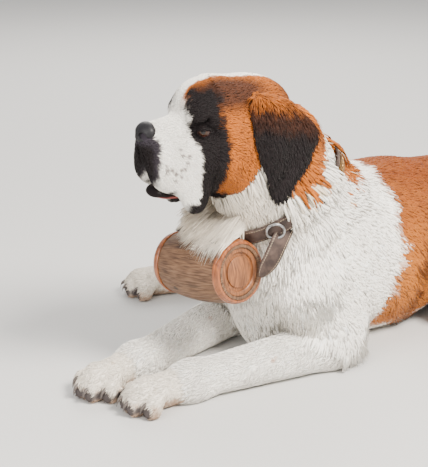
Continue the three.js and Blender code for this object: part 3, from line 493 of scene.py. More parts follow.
    def freckles(self, p: Array, on: dict[Part, Array], col: Array) -> Array:
        """Scatter freckles over the muzzle and the forelegs."""
        rng = np.random.default_rng(SEED)
        v = HEAD.local(p)[:, 1]
        for _ in range(self.muzzle_freckles):
            s = rng.choice((-1, 1))
            spot = HEAD.place((rng.uniform(44, 92), s * 50, rng.uniform(-92, -22)))
            here = near(p, tuple(spot), (3.4,) * 3, 0.5) * (np.sign(v) == s)
            col = paint(col, self.palette.brown, 0.75 * on[Part.HEAD] * here)
        legs = on[Part.FORELEG] + on[Part.FOREPAW] + on[Part.HINDPAW]
        for _ in range(self.leg_freckles):
            i = rng.integers(0, 2)
            a, b = np.array(DOG.elbows[i]), np.array(DOG.toes[i])
            spot = a + (b - a) * rng.uniform(0.05, 0.95) + rng.uniform(-34, 34, 3) + np.array([0, 0, 26])
            col = paint(col, self.palette.golden, 0.6 * legs * near(p, tuple(spot), (4.5,) * 3, 0.5))
        return col

    def paws(self, p: Array, on: dict[Part, Array], grain: Array, col: Array) -> Array:
        """Paint the paws: cream, stained rusty near the ground, with grey pads."""
        paws = on[Part.FOREPAW] + on[Part.HINDPAW]
        col = paint(col, self.palette.cream, 0.4 * paws)
        col = paint(col, self.palette.rust, paws * 0.75 * ramp(30 - p[:, 2] + grain * 3, 0, 20))
        return paint(col, self.pad_grey, paws * toe_pads(p))


MARKINGS = Markings()


# Meshes.
def mesh_object(name: str, points: Array, faces: Array) -> bpy.types.Object:
    """Make an object from points in millimetres and faces of one size.

    Args:
        name: The object's name.
        points: The corners.
        faces: One row of corner numbers for each face.

    Returns:
        The object, at the origin.
    """
    mesh = bpy.data.meshes.new(name)
    n, k = faces.shape
    mesh.vertices.add(len(points))
    mesh.vertices.foreach_set("co", (points * METRES).astype(np.float32).ravel())
    mesh.loops.add(n * k)
    mesh.loops.foreach_set("vertex_index", faces.astype(np.int32).ravel())
    mesh.polygons.add(n)
    mesh.polygons.foreach_set("loop_start", np.arange(0, n * k, k, dtype=np.int32))
    mesh.polygons.foreach_set("use_smooth", np.full(n, True))
    mesh.update(calc_edges=True)
    made = bpy.data.objects.new(name, mesh)
    bpy.context.collection.objects.link(made)
    return made


def from_bmesh(name: str, bm: bmesh.types.BMesh) -> bpy.types.Object:
    """Turn a bmesh in millimetres into an object in metres and free it."""
    bmesh.ops.recalc_face_normals(bm, faces=bm.faces)
    bmesh.ops.scale(bm, vec=(METRES,) * 3, verts=bm.verts)
    for face in bm.faces:
        face.smooth = True
    mesh = bpy.data.meshes.new(name)
    bm.to_mesh(mesh)
    bm.free()
    made = bpy.data.objects.new(name, mesh)
    bpy.context.collection.objects.link(made)
    return made


def tint(made: bpy.types.Object, colours: Array) -> None:
    """Store a colour for each corner point of an object's mesh."""
    layer = made.data.color_attributes.new("Coat", "FLOAT_COLOR", "POINT")
    with_alpha = np.column_stack([colours, np.ones(len(colours))])
    layer.data.foreach_set("color", with_alpha.astype(np.float32).ravel())


def points_of(made: bpy.types.Object) -> Array:
    """Return an object's corner points in millimetres."""
    out = np.empty(len(made.data.vertices) * 3, np.float32)
    made.data.vertices.foreach_get("co", out)
    return out.reshape(-1, 3).astype(float) / METRES


def set_points(made: bpy.types.Object, points: Array) -> None:
    """Move an object's corner points, given in millimetres."""
    made.data.vertices.foreach_set("co", (points * METRES).astype(np.float32).ravel())
    made.data.update()


@dataclass
class SkinNet:
    """A closed quad net over a field, from the cells of a grid that its surface crosses."""

    shape: Field
    low: Point
    high: Point
    step: float
    coarse: int = 5

    def values(self) -> Array:
        """Return the field on the grid, exact near the surface and rough away from it."""
        c = self.coarse
        n = [int(math.ceil((self.high[i] - self.low[i]) / (self.step * c))) * c for i in range(3)]
        self.count = n
        mids = [np.arange(n[i] // c) * c * self.step + self.low[i] + (c - 1) * self.step / 2 for i in range(3)]
        far = np.stack(np.meshgrid(*mids, indexing="ij"), -1).reshape(-1, 3)
        rough = self.shape(far).reshape([m.size for m in mids])
        full = rough.repeat(c, 0).repeat(c, 1).repeat(c, 2)
        close = np.argwhere(np.abs(full) < self.step * c * 1.3)
        exact = np.empty(len(close))
        for i in range(0, len(close), 400_000):
            block = close[i:i + 400_000]
            exact[i:i + 400_000] = self.shape(block * self.step + np.array(self.low))
        full[tuple(close.T)] = exact
        return full

    def build(self) -> tuple[Array, Array]:
        """Return the net's points and quads."""
        v = self.values()
        n = v.shape
        inside = v < 0
        corner = [(a, b, c) for a in (0, 1) for b in (0, 1) for c in (0, 1)]
        cut = [inside[a:n[0] - 1 + a, b:n[1] - 1 + b, c:n[2] - 1 + c] for a, b, c in corner]
        total = sum(x.astype(np.int8) for x in cut)
        cells = np.argwhere((total > 0) & (total < 8))
        ids = np.full([m - 1 for m in n], -1, np.int64)
        ids[tuple(cells.T)] = np.arange(len(cells))
        value = {k: v[tuple((cells + k).T)] for k in corner}
        where = np.zeros((len(cells), 3))
        hits = np.zeros(len(cells))
        for k in corner:
            for m in range(3):
                if k[m]:
                    continue
                k2 = tuple(1 if i == m else k[i] for i in range(3))
                a, b = value[k], value[k2]
                crossing = (a < 0) != (b < 0)
                t = np.where(crossing, a / np.where(crossing, a - b, 1), 0)
                spot = np.array(k, float) + np.zeros((len(cells), 3))
                spot[:, m] += t
                where += spot * crossing[:, None]
                hits += crossing
        points = (cells + where / hits[:, None]) * self.step + np.array(self.low)
        quads = []
        for m in range(3):
            s, t = (m + 1) % 3, (m + 2) % 3
            shift = [np.eye(3, dtype=int)[i] for i in (m, s, t)]
            body = [slice(1, n[i] - 1) for i in range(3)]
            ahead = [slice(1 + shift[0][i], n[i] - 1 + shift[0][i]) for i in range(3)]
            here, there = inside[tuple(body)], inside[tuple(ahead)]
            for way, flip in ((here & ~there, False), (~here & there, True)):
                e = np.argwhere(way) + 1
                ring = [e - shift[1] - shift[2], e - shift[2], e, e - shift[1]]
                face = np.stack([ids[tuple(r.T)] for r in ring], 1)
                quads.append(face[:, ::-1] if flip else face)
        faces = np.concatenate(quads)
        return points, faces[(faces >= 0).all(1)]


# Materials.
def mottle_group() -> bpy.types.NodeTree:
    """Return the shared group that turns a place into a soft, patchy mask; it is built once."""
    made = bpy.data.node_groups.get("Mottle")
    if made:
        return made
    made = bpy.data.node_groups.new("Mottle", "ShaderNodeTree")
    made.interface.new_socket("Place", in_out="INPUT", socket_type="NodeSocketVector")
    for name, value in (("Scale", 1.0), ("Detail", 3.0), ("Low", 0.0), ("High", 1.0)):
        made.interface.new_socket(name, in_out="INPUT", socket_type="NodeSocketFloat").default_value = value
    made.interface.new_socket("Mask", in_out="OUTPUT", socket_type="NodeSocketFloat")
    start, end = made.nodes.new("NodeGroupInput"), made.nodes.new("NodeGroupOutput")
    noise, span = made.nodes.new("ShaderNodeTexNoise"), made.nodes.new("ShaderNodeMapRange")
    for out, into in ((start.outputs["Place"], noise.inputs["Vector"]),
                      (start.outputs["Scale"], noise.inputs["Scale"]),
                      (start.outputs["Detail"], noise.inputs["Detail"]),
                      (noise.outputs["Fac"], span.inputs["Value"]),
                      (start.outputs["Low"], span.inputs["From Min"]),
                      (start.outputs["High"], span.inputs["From Max"]),
                      (span.outputs["Result"], end.inputs["Mask"])):
        made.links.new(out, into)
    return made


class Shader:
    """A small helper that lays out one material's nodes."""

    def __init__(self, name: str, **sockets: object) -> None:
        """Start a material with a Principled shader and values on its own sockets."""
        self.material = bpy.data.materials.new(name)
        self.material.use_nodes = True
        self.tree = self.material.node_tree
        self.shader = self.tree.nodes["Principled BSDF"]
        for key, value in sockets.items():
            self.shader.inputs[key.replace("_", " ")].default_value = value

    def node(self, kind: str, inputs: Optional[dict] = None, **settings: object) -> bpy.types.Node:
        """Add a node with settings, and values or links for its inputs."""
        made = self.tree.nodes.new("ShaderNode" + kind)
        for key, value in settings.items():
            setattr(made, key, value)
        for key, value in (inputs or {}).items():
            if isinstance(value, bpy.types.NodeSocket):
                self.tree.links.new(value, made.inputs[key])
            else:
                made.inputs[key].default_value = value
        return made

    def link(self, out: bpy.types.NodeSocket, name: str) -> None:
        """Feed a socket of the Principled shader."""
        self.tree.links.new(out, self.shader.inputs[name])

    def attribute(self, name: str) -> bpy.types.NodeSocket:
        """Return the colour of a mesh attribute."""
        return self.node("Attribute", attribute_name=name).outputs["Color"]

    def uv(self, name: str, scale: Point) -> bpy.types.NodeSocket:
        """Return a UV map's coordinates, scaled."""
        at = self.node("UVMap", uv_map=name)
        return self.node("Mapping", {"Vector": at.outputs[0], "Scale": scale}).outputs[0]

    def object(self, scale: Point) -> bpy.types.NodeSocket:
        """Return Object coordinates, scaled."""
        at = self.node("TexCoord")
        return self.node("Mapping", {"Vector": at.outputs["Object"], "Scale": scale}).outputs[0]

    def noise(self, at: bpy.types.NodeSocket, scale: float, detail: float = 3.0) -> bpy.types.NodeSocket:
        """Return a patchy mask from 0 to 1, from the shared group."""
        made = self.node("Group", node_tree=mottle_group())
        self.tree.links.new(at, made.inputs["Place"])
        made.inputs["Scale"].default_value, made.inputs["Detail"].default_value = scale, detail
        return made.outputs["Mask"]

    def span(self, value: bpy.types.NodeSocket, low: float, high: float, a: float,
             b: float) -> bpy.types.NodeSocket:
        """Return a value moved from one range to another."""
        return self.node("MapRange", {"Value": value, "From Min": low, "From Max": high, "To Min": a,
                                      "To Max": b}).outputs["Result"]

    def math(self, way: str, a: object, b: object = 0.5) -> bpy.types.NodeSocket:
        """Return a sum, product or the like of two values."""
        return self.node("Math", {0: a, 1: b}, operation=way).outputs[0]

    def mix(self, share: object, a: object, b: object, way: str = "MIX") -> bpy.types.NodeSocket:
        """Return two colours mixed."""
        made = self.node("Mix", data_type="RGBA", blend_type=way)
        for key, value in ((0, share), (6, a), (7, b)):
            if isinstance(value, bpy.types.NodeSocket):
                self.tree.links.new(value, made.inputs[key])
            else:
                made.inputs[key].default_value = (*value, 1) if isinstance(value, tuple) else value
        return made.outputs[2]

    def marking(self, share: bpy.types.NodeSocket, dark: Colour, light: Colour) -> None:
        """Feed the stored marking to Base Color, darker and lighter by a value."""
        self.link(self.mix(1.0, self.attribute("Coat"), self.mix(share, dark, light), "MULTIPLY"), "Base Color")

    def bump(self, height: bpy.types.NodeSocket, strength: float, distance: float) -> None:
        """Raise the surface by a height."""
        made = self.node("Bump", {"Height": height, "Strength": strength, "Distance": distance})
        self.link(made.outputs[0], "Normal")


@dataclass(frozen=True)
class HairFinish:
    """The tufts' finish: the stored marking, streaked by single hairs."""

    roughness: float = 0.58
    dark: Colour = (0.90, 0.885, 0.86)
    light: Colour = (1.12, 1.12, 1.12)
    relief: float = 0.0006

    def make(self) -> bpy.types.Material:
        """Return the material."""
        s = Shader("hair", Roughness=self.roughness, Sheen_Weight=0.03, Sheen_Roughness=0.5,
                   Specular_IOR_Level=0.16)
        hairs = s.noise(s.uv("Strand", (9, 0.8, 1)), 2.4, 2.0)
        s.marking(s.span(hairs, 0.3, 0.7, 0.0, 1.0), self.dark, self.light)
        s.bump(hairs, 0.4, self.relief)
        return s.material


@dataclass(frozen=True)
class SkinFinish:
    """The finish of the skin under the coat: the marking, with short hair as fine bump."""

    roughness: float = 0.75
    dark: Colour = (0.84, 0.83, 0.82)
    light: Colour = (1.08, 1.08, 1.08)
    relief: float = 0.0005

    def make(self) -> bpy.types.Material:
        """Return the material."""
        s = Shader("short_coat", Roughness=self.roughness, Specular_IOR_Level=0.12)
        fine = s.noise(s.object((900, 900, 900)), 1.0, 3.0)
        s.marking(s.span(fine, 0.35, 0.65, 0.0, 1.0), self.dark, self.light)
        s.bump(fine, 0.4, self.relief)
        return s.material


@dataclass(frozen=True)
class WetFinish:
    """A pebbled finish that shines wet over the stored colour, as on the nose and the tongue."""

    name: str
    roughness: float
    pebble: float
    grey: Colour = (0.42, 0.42, 0.42)
    relief: float = 0.0005

    def make(self) -> bpy.types.Material:
        """Return the material."""
        s = Shader(self.name, Roughness=self.roughness, Coat_Weight=0.08, Coat_Roughness=0.3,
                   Specular_IOR_Level=0.25)
        cells = s.node("TexVoronoi", {"Vector": s.object((1, 1, 1)), "Scale": self.pebble}).outputs["Distance"]
        col = s.mix(s.span(cells, 0.0, 0.6, 0, 1), s.attribute("Coat"), self.grey, "OVERLAY")
        s.link(col, "Base Color")
        s.link(s.span(cells, 0.0, 0.7, self.roughness, self.roughness + 0.2), "Roughness")
        s.bump(cells, 0.35, self.relief)
        return s.material


@dataclass(frozen=True)
class EyeFinish:
    """The eye's finish: iris, pupil and white under a wet clear coat."""

    roughness: float = 0.2
    fleck: Colour = (0.4, 0.4, 0.4)

    def make(self) -> bpy.types.Material:
        """Return the material."""
        s = Shader("eyeball", Roughness=self.roughness, Coat_Weight=0.35, Coat_Roughness=0.04,
                   Specular_IOR_Level=0.25)
        flecks = s.span(s.noise(s.object((700, 700, 700)), 1.0, 2.0), 0.3, 0.7, 0, 0.3)
        s.link(s.mix(flecks, s.attribute("Coat"), self.fleck, "OVERLAY"), "Base Color")
        return s.material


@dataclass(frozen=True)
class HornFinish:
    """The claws' finish: dark horn with lengthwise streaks."""

    dark: Colour = (0.035, 0.027, 0.024)
    light: Colour = (0.16, 0.13, 0.11)

    def make(self) -> bpy.types.Material:
        """Return the material."""
        s = Shader("claw_horn", Roughness=0.42, Coat_Weight=0.15, Coat_Roughness=0.3)
        streak = s.noise(s.object((500, 120, 500)), 1.0, 2.0)
        s.link(s.mix(streak, self.dark, self.light), "Base Color")
        s.bump(streak, 0.2, 0.0003)
        return s.material


@dataclass(frozen=True)
class WoodFinish:
    """Wood along the piece's own grain map, with a tone for each stave, knots and worn patches."""

    name: str
    light: Colour
    dark: Colour
    roughness: float
    varnish: float

    def make(self) -> bpy.types.Material:
        """Return the material."""
        s = Shader(self.name, Roughness=self.roughness, Coat_Weight=self.varnish, Coat_Roughness=0.25)
        grain = s.noise(s.uv("Grain", (1.0, 0.09, 1)), 0.34, 5.0)
        broad = s.noise(s.uv("Grain", (0.25, 0.05, 1)), 0.4, 2.0)
        at_knots = s.uv("Grain", (0.016, 0.012, 1))
        knots = s.node("TexVoronoi", {"Vector": at_knots, "Scale": 1.0}).outputs["Distance"]
        col = s.mix(s.span(grain, 0.35, 0.68, 0, 1), self.dark, self.light)
        col = s.mix(s.span(broad, 0.55, 0.72, 0, 0.55), col, self.darker(0.35))
        col = s.mix(s.span(knots, 0.05, 0.11, 0.85, 0.0), col, self.darker(0.18))
        s.link(s.mix(1.0, col, s.attribute("Coat"), "MULTIPLY"), "Base Color")
        s.link(s.span(grain, 0.3, 0.7, self.roughness + 0.12, self.roughness - 0.08), "Roughness")
        s.bump(grain, 0.3, 0.0006)
        return s.material

    def darker(self, share: float) -> Colour:
        """Return the dark of the grain at a share of its brightness."""
        return tuple(x * share for x in self.dark)


@dataclass(frozen=True)
class LeatherFinish:
    """Worn dark brown leather with a stitched line along both edges."""

    dark: Colour = (0.026, 0.015, 0.012)
    worn: Colour = (0.085, 0.052, 0.04)
    thread: Colour = (0.34, 0.26, 0.17)
    stitch_at: float = 0.78
    stitch_half: float = 0.035

    def make(self) -> bpy.types.Material:
        """Return the material."""
        s = Shader("strap_leather", Roughness=0.6, Specular_IOR_Level=0.4)
        at = s.object((1, 1, 1))
        cracks = s.node("TexVoronoi", {"Vector": at, "Scale": 420.0}, feature="DISTANCE_TO_EDGE")
        col = s.mix(s.span(s.noise(at, 60.0, 4.0), 0.35, 0.7, 0, 1), self.dark, self.worn)
        split = s.node("SeparateXYZ", {"Vector": s.uv("Grain", (1, 1, 1))})
        line = s.math("COMPARE", s.math("ABSOLUTE", split.outputs["X"]), self.stitch_at)
        line.node.inputs[2].default_value = self.stitch_half
        dash = s.math("LESS_THAN", s.math("FRACT", s.math("MULTIPLY", split.outputs["Y"], 0.22)), 0.66)
        stitch = s.math("MULTIPLY", line, dash)
        s.link(s.mix(stitch, col, self.thread), "Base Color")
        s.bump(s.math("ADD", s.math("MULTIPLY", cracks.outputs["Distance"], 0.6), stitch), 0.4, 0.0006)
        return s.material


@dataclass(frozen=True)
class MetalFinish:
    """Dull metal, tarnished in patches."""

    name: str
    colour: Colour
    tarnish: Colour

    def make(self) -> bpy.types.Material:
        """Return the material."""
        s = Shader(self.name, Metallic=1.0, Roughness=0.35)
        patch = s.noise(s.object((1, 1, 1)), 140.0, 4.0)
        s.link(s.mix(s.span(patch, 0.4, 0.65, 0, 1), self.colour, self.tarnish), "Base Color")
        s.link(s.span(patch, 0.3, 0.7, 0.25, 0.55), "Roughness")
        s.bump(patch, 0.15, 0.0003)
        return s.material


NOSE_PAD = WetFinish("nose_pad", 0.42, pebble=620.0)
WET_TONGUE = WetFinish("wet_tongue", 0.25, pebble=900.0)
STAVE_WOOD = WoodFinish("stave_wood", (0.20, 0.102, 0.048), (0.058, 0.026, 0.013), 0.62, varnish=0.05)
RIM_WOOD = WoodFinish("rim_wood", (0.36, 0.105, 0.022), (0.15, 0.038, 0.01), 0.38, varnish=0.4)
BOARD_WOOD = WoodFinish("board_wood", (0.34, 0.12, 0.034), (0.11, 0.038, 0.013), 0.55, varnish=0.1)
OLD_BRASS = MetalFinish("old_brass", (0.58, 0.34, 0.12), (0.17, 0.085, 0.035))
STEEL = MetalFinish("steel", (0.42, 0.42, 0.43), (0.16, 0.15, 0.14))


# Skin and coat.
COAT_DEPTH = {Part.TORSO: 8.0, Part.NECK: 10.0, Part.HEAD: 2.6, Part.FORELEG: 5.0, Part.FOREPAW: 2.2,
              Part.THIGH: 7.5, Part.SHANK: 5.0, Part.HINDPAW: 2.2, Part.TAIL: 11.0}


def shares(d: dict[Part, Array], softness: float = 14.0) -> Array:
    """Return how much each part counts at each point, adding up to one."""
    stack = np.stack([d[k] for k in d])
    weight = np.exp(-np.clip(stack - stack.min(0), 0, 200) / softness)
    return weight / weight.sum(0)


def skin_field(p: Array) -> Array:
    """Return the distance to the skin, which lies under the whole form by the coat's depth."""
    d = DOG.parts(p)
    depth = sum(w * COAT_DEPTH[k] for w, k in zip(shares(d), d))
    back_of_head = ramp(-HEAD.local(p)[:, 0], 10, 110) * 4.5
    return Anatomy.run_together(d) + depth + back_of_head * np.exp(-np.clip(d[Part.HEAD], 0, 90) / 14)


def unwrap(made: bpy.types.Object, margin: float) -> None:
    """Unwrap a piece by its own shape into the OFBake map."""
    made.data.uv_layers.new(name="OFBake")
    bpy.context.view_layer.objects.active = made
    made.select_set(True)
    bpy.ops.object.mode_set(mode="EDIT")
    bpy.ops.mesh.select_all(action="SELECT")
    bpy.ops.uv.smart_project(angle_limit=math.radians(66), island_margin=margin)
    bpy.ops.object.mode_set(mode="OBJECT")
    made.select_set(False)


@dataclass
class Skin:
    """The one closed skin of the dog, with its markings and its unwrap."""

    step: float = 6.2
    low: Point = (-480, -560, -40)
    high: Point = (430, 990, 640)
    made: bpy.types.Object = field(init=False)

    def build(self) -> bpy.types.Object:
        """Make the skin, finer on the face, and dress it."""
        points, quads = SkinNet(skin_field, self.low, self.high, self.step).build()
        self.made = mesh_object("skin", points, quads)
        for low, reach in ((-46, 120), (-12, 66)):
            self.refine(low, reach)
        p = points_of(self.made)
        p = settle(skin_field, p, 0.0, 2)
        p[:, 2] = np.maximum(p[:, 2], 1.2 + 0.3 * np.clip(p[:, 2] + 10, 0, 4))
        set_points(self.made, p)
        unwrap(self.made, 0.002)
        tint(self.made, MARKINGS.colours(p, DOG.part_at(p)))
        self.made.data.materials.append(SkinFinish().make())
        return self.made

    def refine(self, low: float, reach: float) -> None:
        """Divide the quads of the face that lie ahead of low and within reach of the eyes' height."""
        bm = bmesh.new()
        bm.from_mesh(self.made.data)
        bm.edges.ensure_lookup_table()
        mid = np.array([[*((e.verts[0].co + e.verts[1].co) / 2)] for e in bm.edges]) / METRES
        q = HEAD.local(mid)
        pick = (q[:, 0] > low) & (np.abs(q[:, 2] + 30) < reach) & (q[:, 0] < 150) & (np.abs(q[:, 1]) < 110)
        bmesh.ops.subdivide_edges(bm, edges=[bm.edges[i] for i in np.flatnonzero(pick)], cuts=1,
                                  use_grid_fill=True)
        bmesh.ops.triangulate(bm, faces=[f for f in bm.faces if len(f.verts) > 4])
        bm.to_mesh(self.made.data)
        bm.free()
        polygons = self.made.data.polygons
        polygons.foreach_set("use_smooth", np.full(len(polygons), True))
        set_points(self.made, settle(skin_field, points_of(self.made), 0.0, 1))


@dataclass
class Roots:
    """Where tufts can grow: the corner triangles of a mesh with their normals and unwrap."""

    made: bpy.types.Object

    def __post_init__(self) -> None:
        """Read the mesh into arrays."""
        mesh = self.made.data
        mesh.calc_loop_triangles()
        n = len(mesh.loop_triangles)
        tri = np.empty(n * 3, np.int32)
        mesh.loop_triangles.foreach_get("vertices", tri)
        loops = np.empty(n * 3, np.int32)
        mesh.loop_triangles.foreach_get("loops", loops)
        uv = np.empty(len(mesh.loops) * 2, np.float32)
        mesh.uv_layers["OFBake"].data.foreach_get("uv", uv)
        normals = np.empty(len(mesh.vertices) * 3, np.float32)
        mesh.vertex_normals.foreach_get("vector", normals)
        self.points = points_of(self.made)[tri.reshape(-1, 3)]
        self.normals = normals.reshape(-1, 3)[tri.reshape(-1, 3)].astype(float)
        self.uv = uv.reshape(-1, 2)[loops.reshape(-1, 3)]
        edge = np.cross(self.points[:, 1] - self.points[:, 0], self.points[:, 2] - self.points[:, 0])
        self.area = np.linalg.norm(edge, axis=1) / 2
        self.middle = self.points.mean(1)

    def spread(self, where: Array, count: int, rng: np.random.Generator) -> tuple[Array, Array, Array]:
        """Spread roots evenly by area over the triangles, more where the weight is higher.

        Args:
            where: A weight for each triangle.
            count: How many roots.
            rng: The seeded source of chance.

        Returns:
            Points, unit normals and unwrap places of the roots.
        """
        total = np.cumsum(self.area * where)
        at = (np.arange(count) + rng.random(count)) / count * total[-1]
        pick = np.minimum(np.searchsorted(total, at), len(total) - 1)
        a, b = rng.random(count), rng.random(count)
        over = a + b > 1
        a, b = np.where(over, 1 - a, a), np.where(over, 1 - b, b)
        k = np.stack([1 - a - b, a, b], 1)[:, :, None]
        normals = unit((self.normals[pick] * k).sum(1))
        return (self.points[pick] * k).sum(1), normals, (self.uv[pick] * k).sum(1)


def tail_way(p: Array) -> Array:
    """Return the direction along the tail at each point."""
    path = smooth_path(np.array(DOG.tail)[:, :3], 60)
    away = np.linalg.norm(p[:, None] - path[None, :-1], axis=2)
    weight = np.exp(-(away - away.min(1, keepdims=True)) / 12.0)
    return unit(weight @ unit(path[1:] - path[:-1]))


def limb_way(p: Array, pairs: Sequence[tuple[Point, Point]]) -> Array:
    """Return the direction along the nearest of several limbs at each point."""
    away = np.stack([bone(a, b, 0, 0)(p) for a, b in pairs], 1)
    ways = unit(np.array([np.array(b, float) - np.array(a, float) for a, b in pairs]))
    return ways[np.argmin(away, 1)]


def lie_of(p: Array, normal: Array, rng: np.random.Generator, stray: float) -> Array:
    """Return the way the hair lies at points of the skin, flat on the surface.

    Args:
        p: The points.
        normal: The skin's unit normals there.
        rng: The seeded source of chance.
        stray: How far single tufts turn away, in radians.

    Returns:
        Unit directions.
    """
    d = DOG.parts(p)
    share = dict(zip(d, shares(d, 16.0)))
    n = len(p)
    side = np.sign(p[:, 0])
    front = ramp(-p[:, 1], 20, 110)[:, None]
    torso = unit(np.stack([0.12 * side, np.full(n, 0.92), -0.42 - 0.35 * np.abs(normal[:, 0])], 1))
    torso = unit(torso * (1 - front) + np.stack([0.15 * side, np.zeros(n), -np.ones(n)], 1) * front)
    fore = ramp(-normal[:, 1], -0.2, 0.5)[:, None]
    neck = np.array([0, 0.80, -0.6]) * (1 - fore) + np.array([0, 0.12, -1.0]) * fore
    q = HEAD.local(p)
    low = ramp(-q[:, 2], 10, 70)
    across = np.sign(q[:, 1]) * 0.25
    head = HEAD.aim(np.stack([-1 + 0.55 * low, across, 0.12 - 0.95 * low], 1))
    fore_legs = limb_way(p, list(zip(DOG.elbows, DOG.toes)))
    fore_legs = unit(fore_legs + np.array([0, 0, -0.35]))
    hind = limb_way(p, [(DOG.left_knee, DOG.left_hock), (DOG.right_hip, DOG.right_knee),
                        (DOG.right_knee, DOG.right_hock)])
    thigh = unit(hind * 0.5 + np.array([0, 0.45, -0.7]))
    paws = limb_way(p, [(paw.heel, paw.toe) for paw in DOG.paws])
    paws = unit(paws + np.array([0, 0, -0.3]))
    ways = {Part.TORSO: torso, Part.NECK: neck, Part.HEAD: head, Part.FORELEG: fore_legs, Part.FOREPAW: paws,
            Part.THIGH: thigh, Part.SHANK: hind, Part.HINDPAW: paws, Part.TAIL: tail_way(p)}
    total = sum(share[k][:, None] * ways[k] for k in ways)
    flat = unit(total - (total * normal).sum(1, keepdims=True) * normal)
    turn = 0.30 * ripple(p, 130, 0.9) + 0.16 * ripple(p, 48, 2.6) + rng.normal(0, stray, n)
    return unit(flat * np.cos(turn)[:, None] + np.cross(normal, flat) * np.sin(turn)[:, None])


class TuftRing(NamedTuple):
    """One ring of a tuft: its place from root to tip, and its width, height and pull to the lock, as shares."""

    at: float
    width: float
    height: float
    pull: float


class Tuft(Enum):
    """The two kinds of tuft, by their rings from root to tip."""

    LONG = (TuftRing(0.0, 1.0, -0.35, 0.0), TuftRing(0.36, 0.92, 0.62, 0.10), TuftRing(0.72, 0.62, 0.98, 0.5),
            TuftRing(1.0, 0.0, 0.66, 1.0))
    SHORT = (TuftRing(0.0, 1.0, -0.4, 0.0), TuftRing(0.5, 0.82, 0.8, 0.3), TuftRing(1.0, 0.0, 0.5, 1.0))


@dataclass
class Tufts:
    """The roots, ways and sizes of many tufts, a row for each."""

    base: Array
    normal: Array
    lie: Array
    length: Array
    width: Array
    rise: Array
    bend: Array
    pull: Array


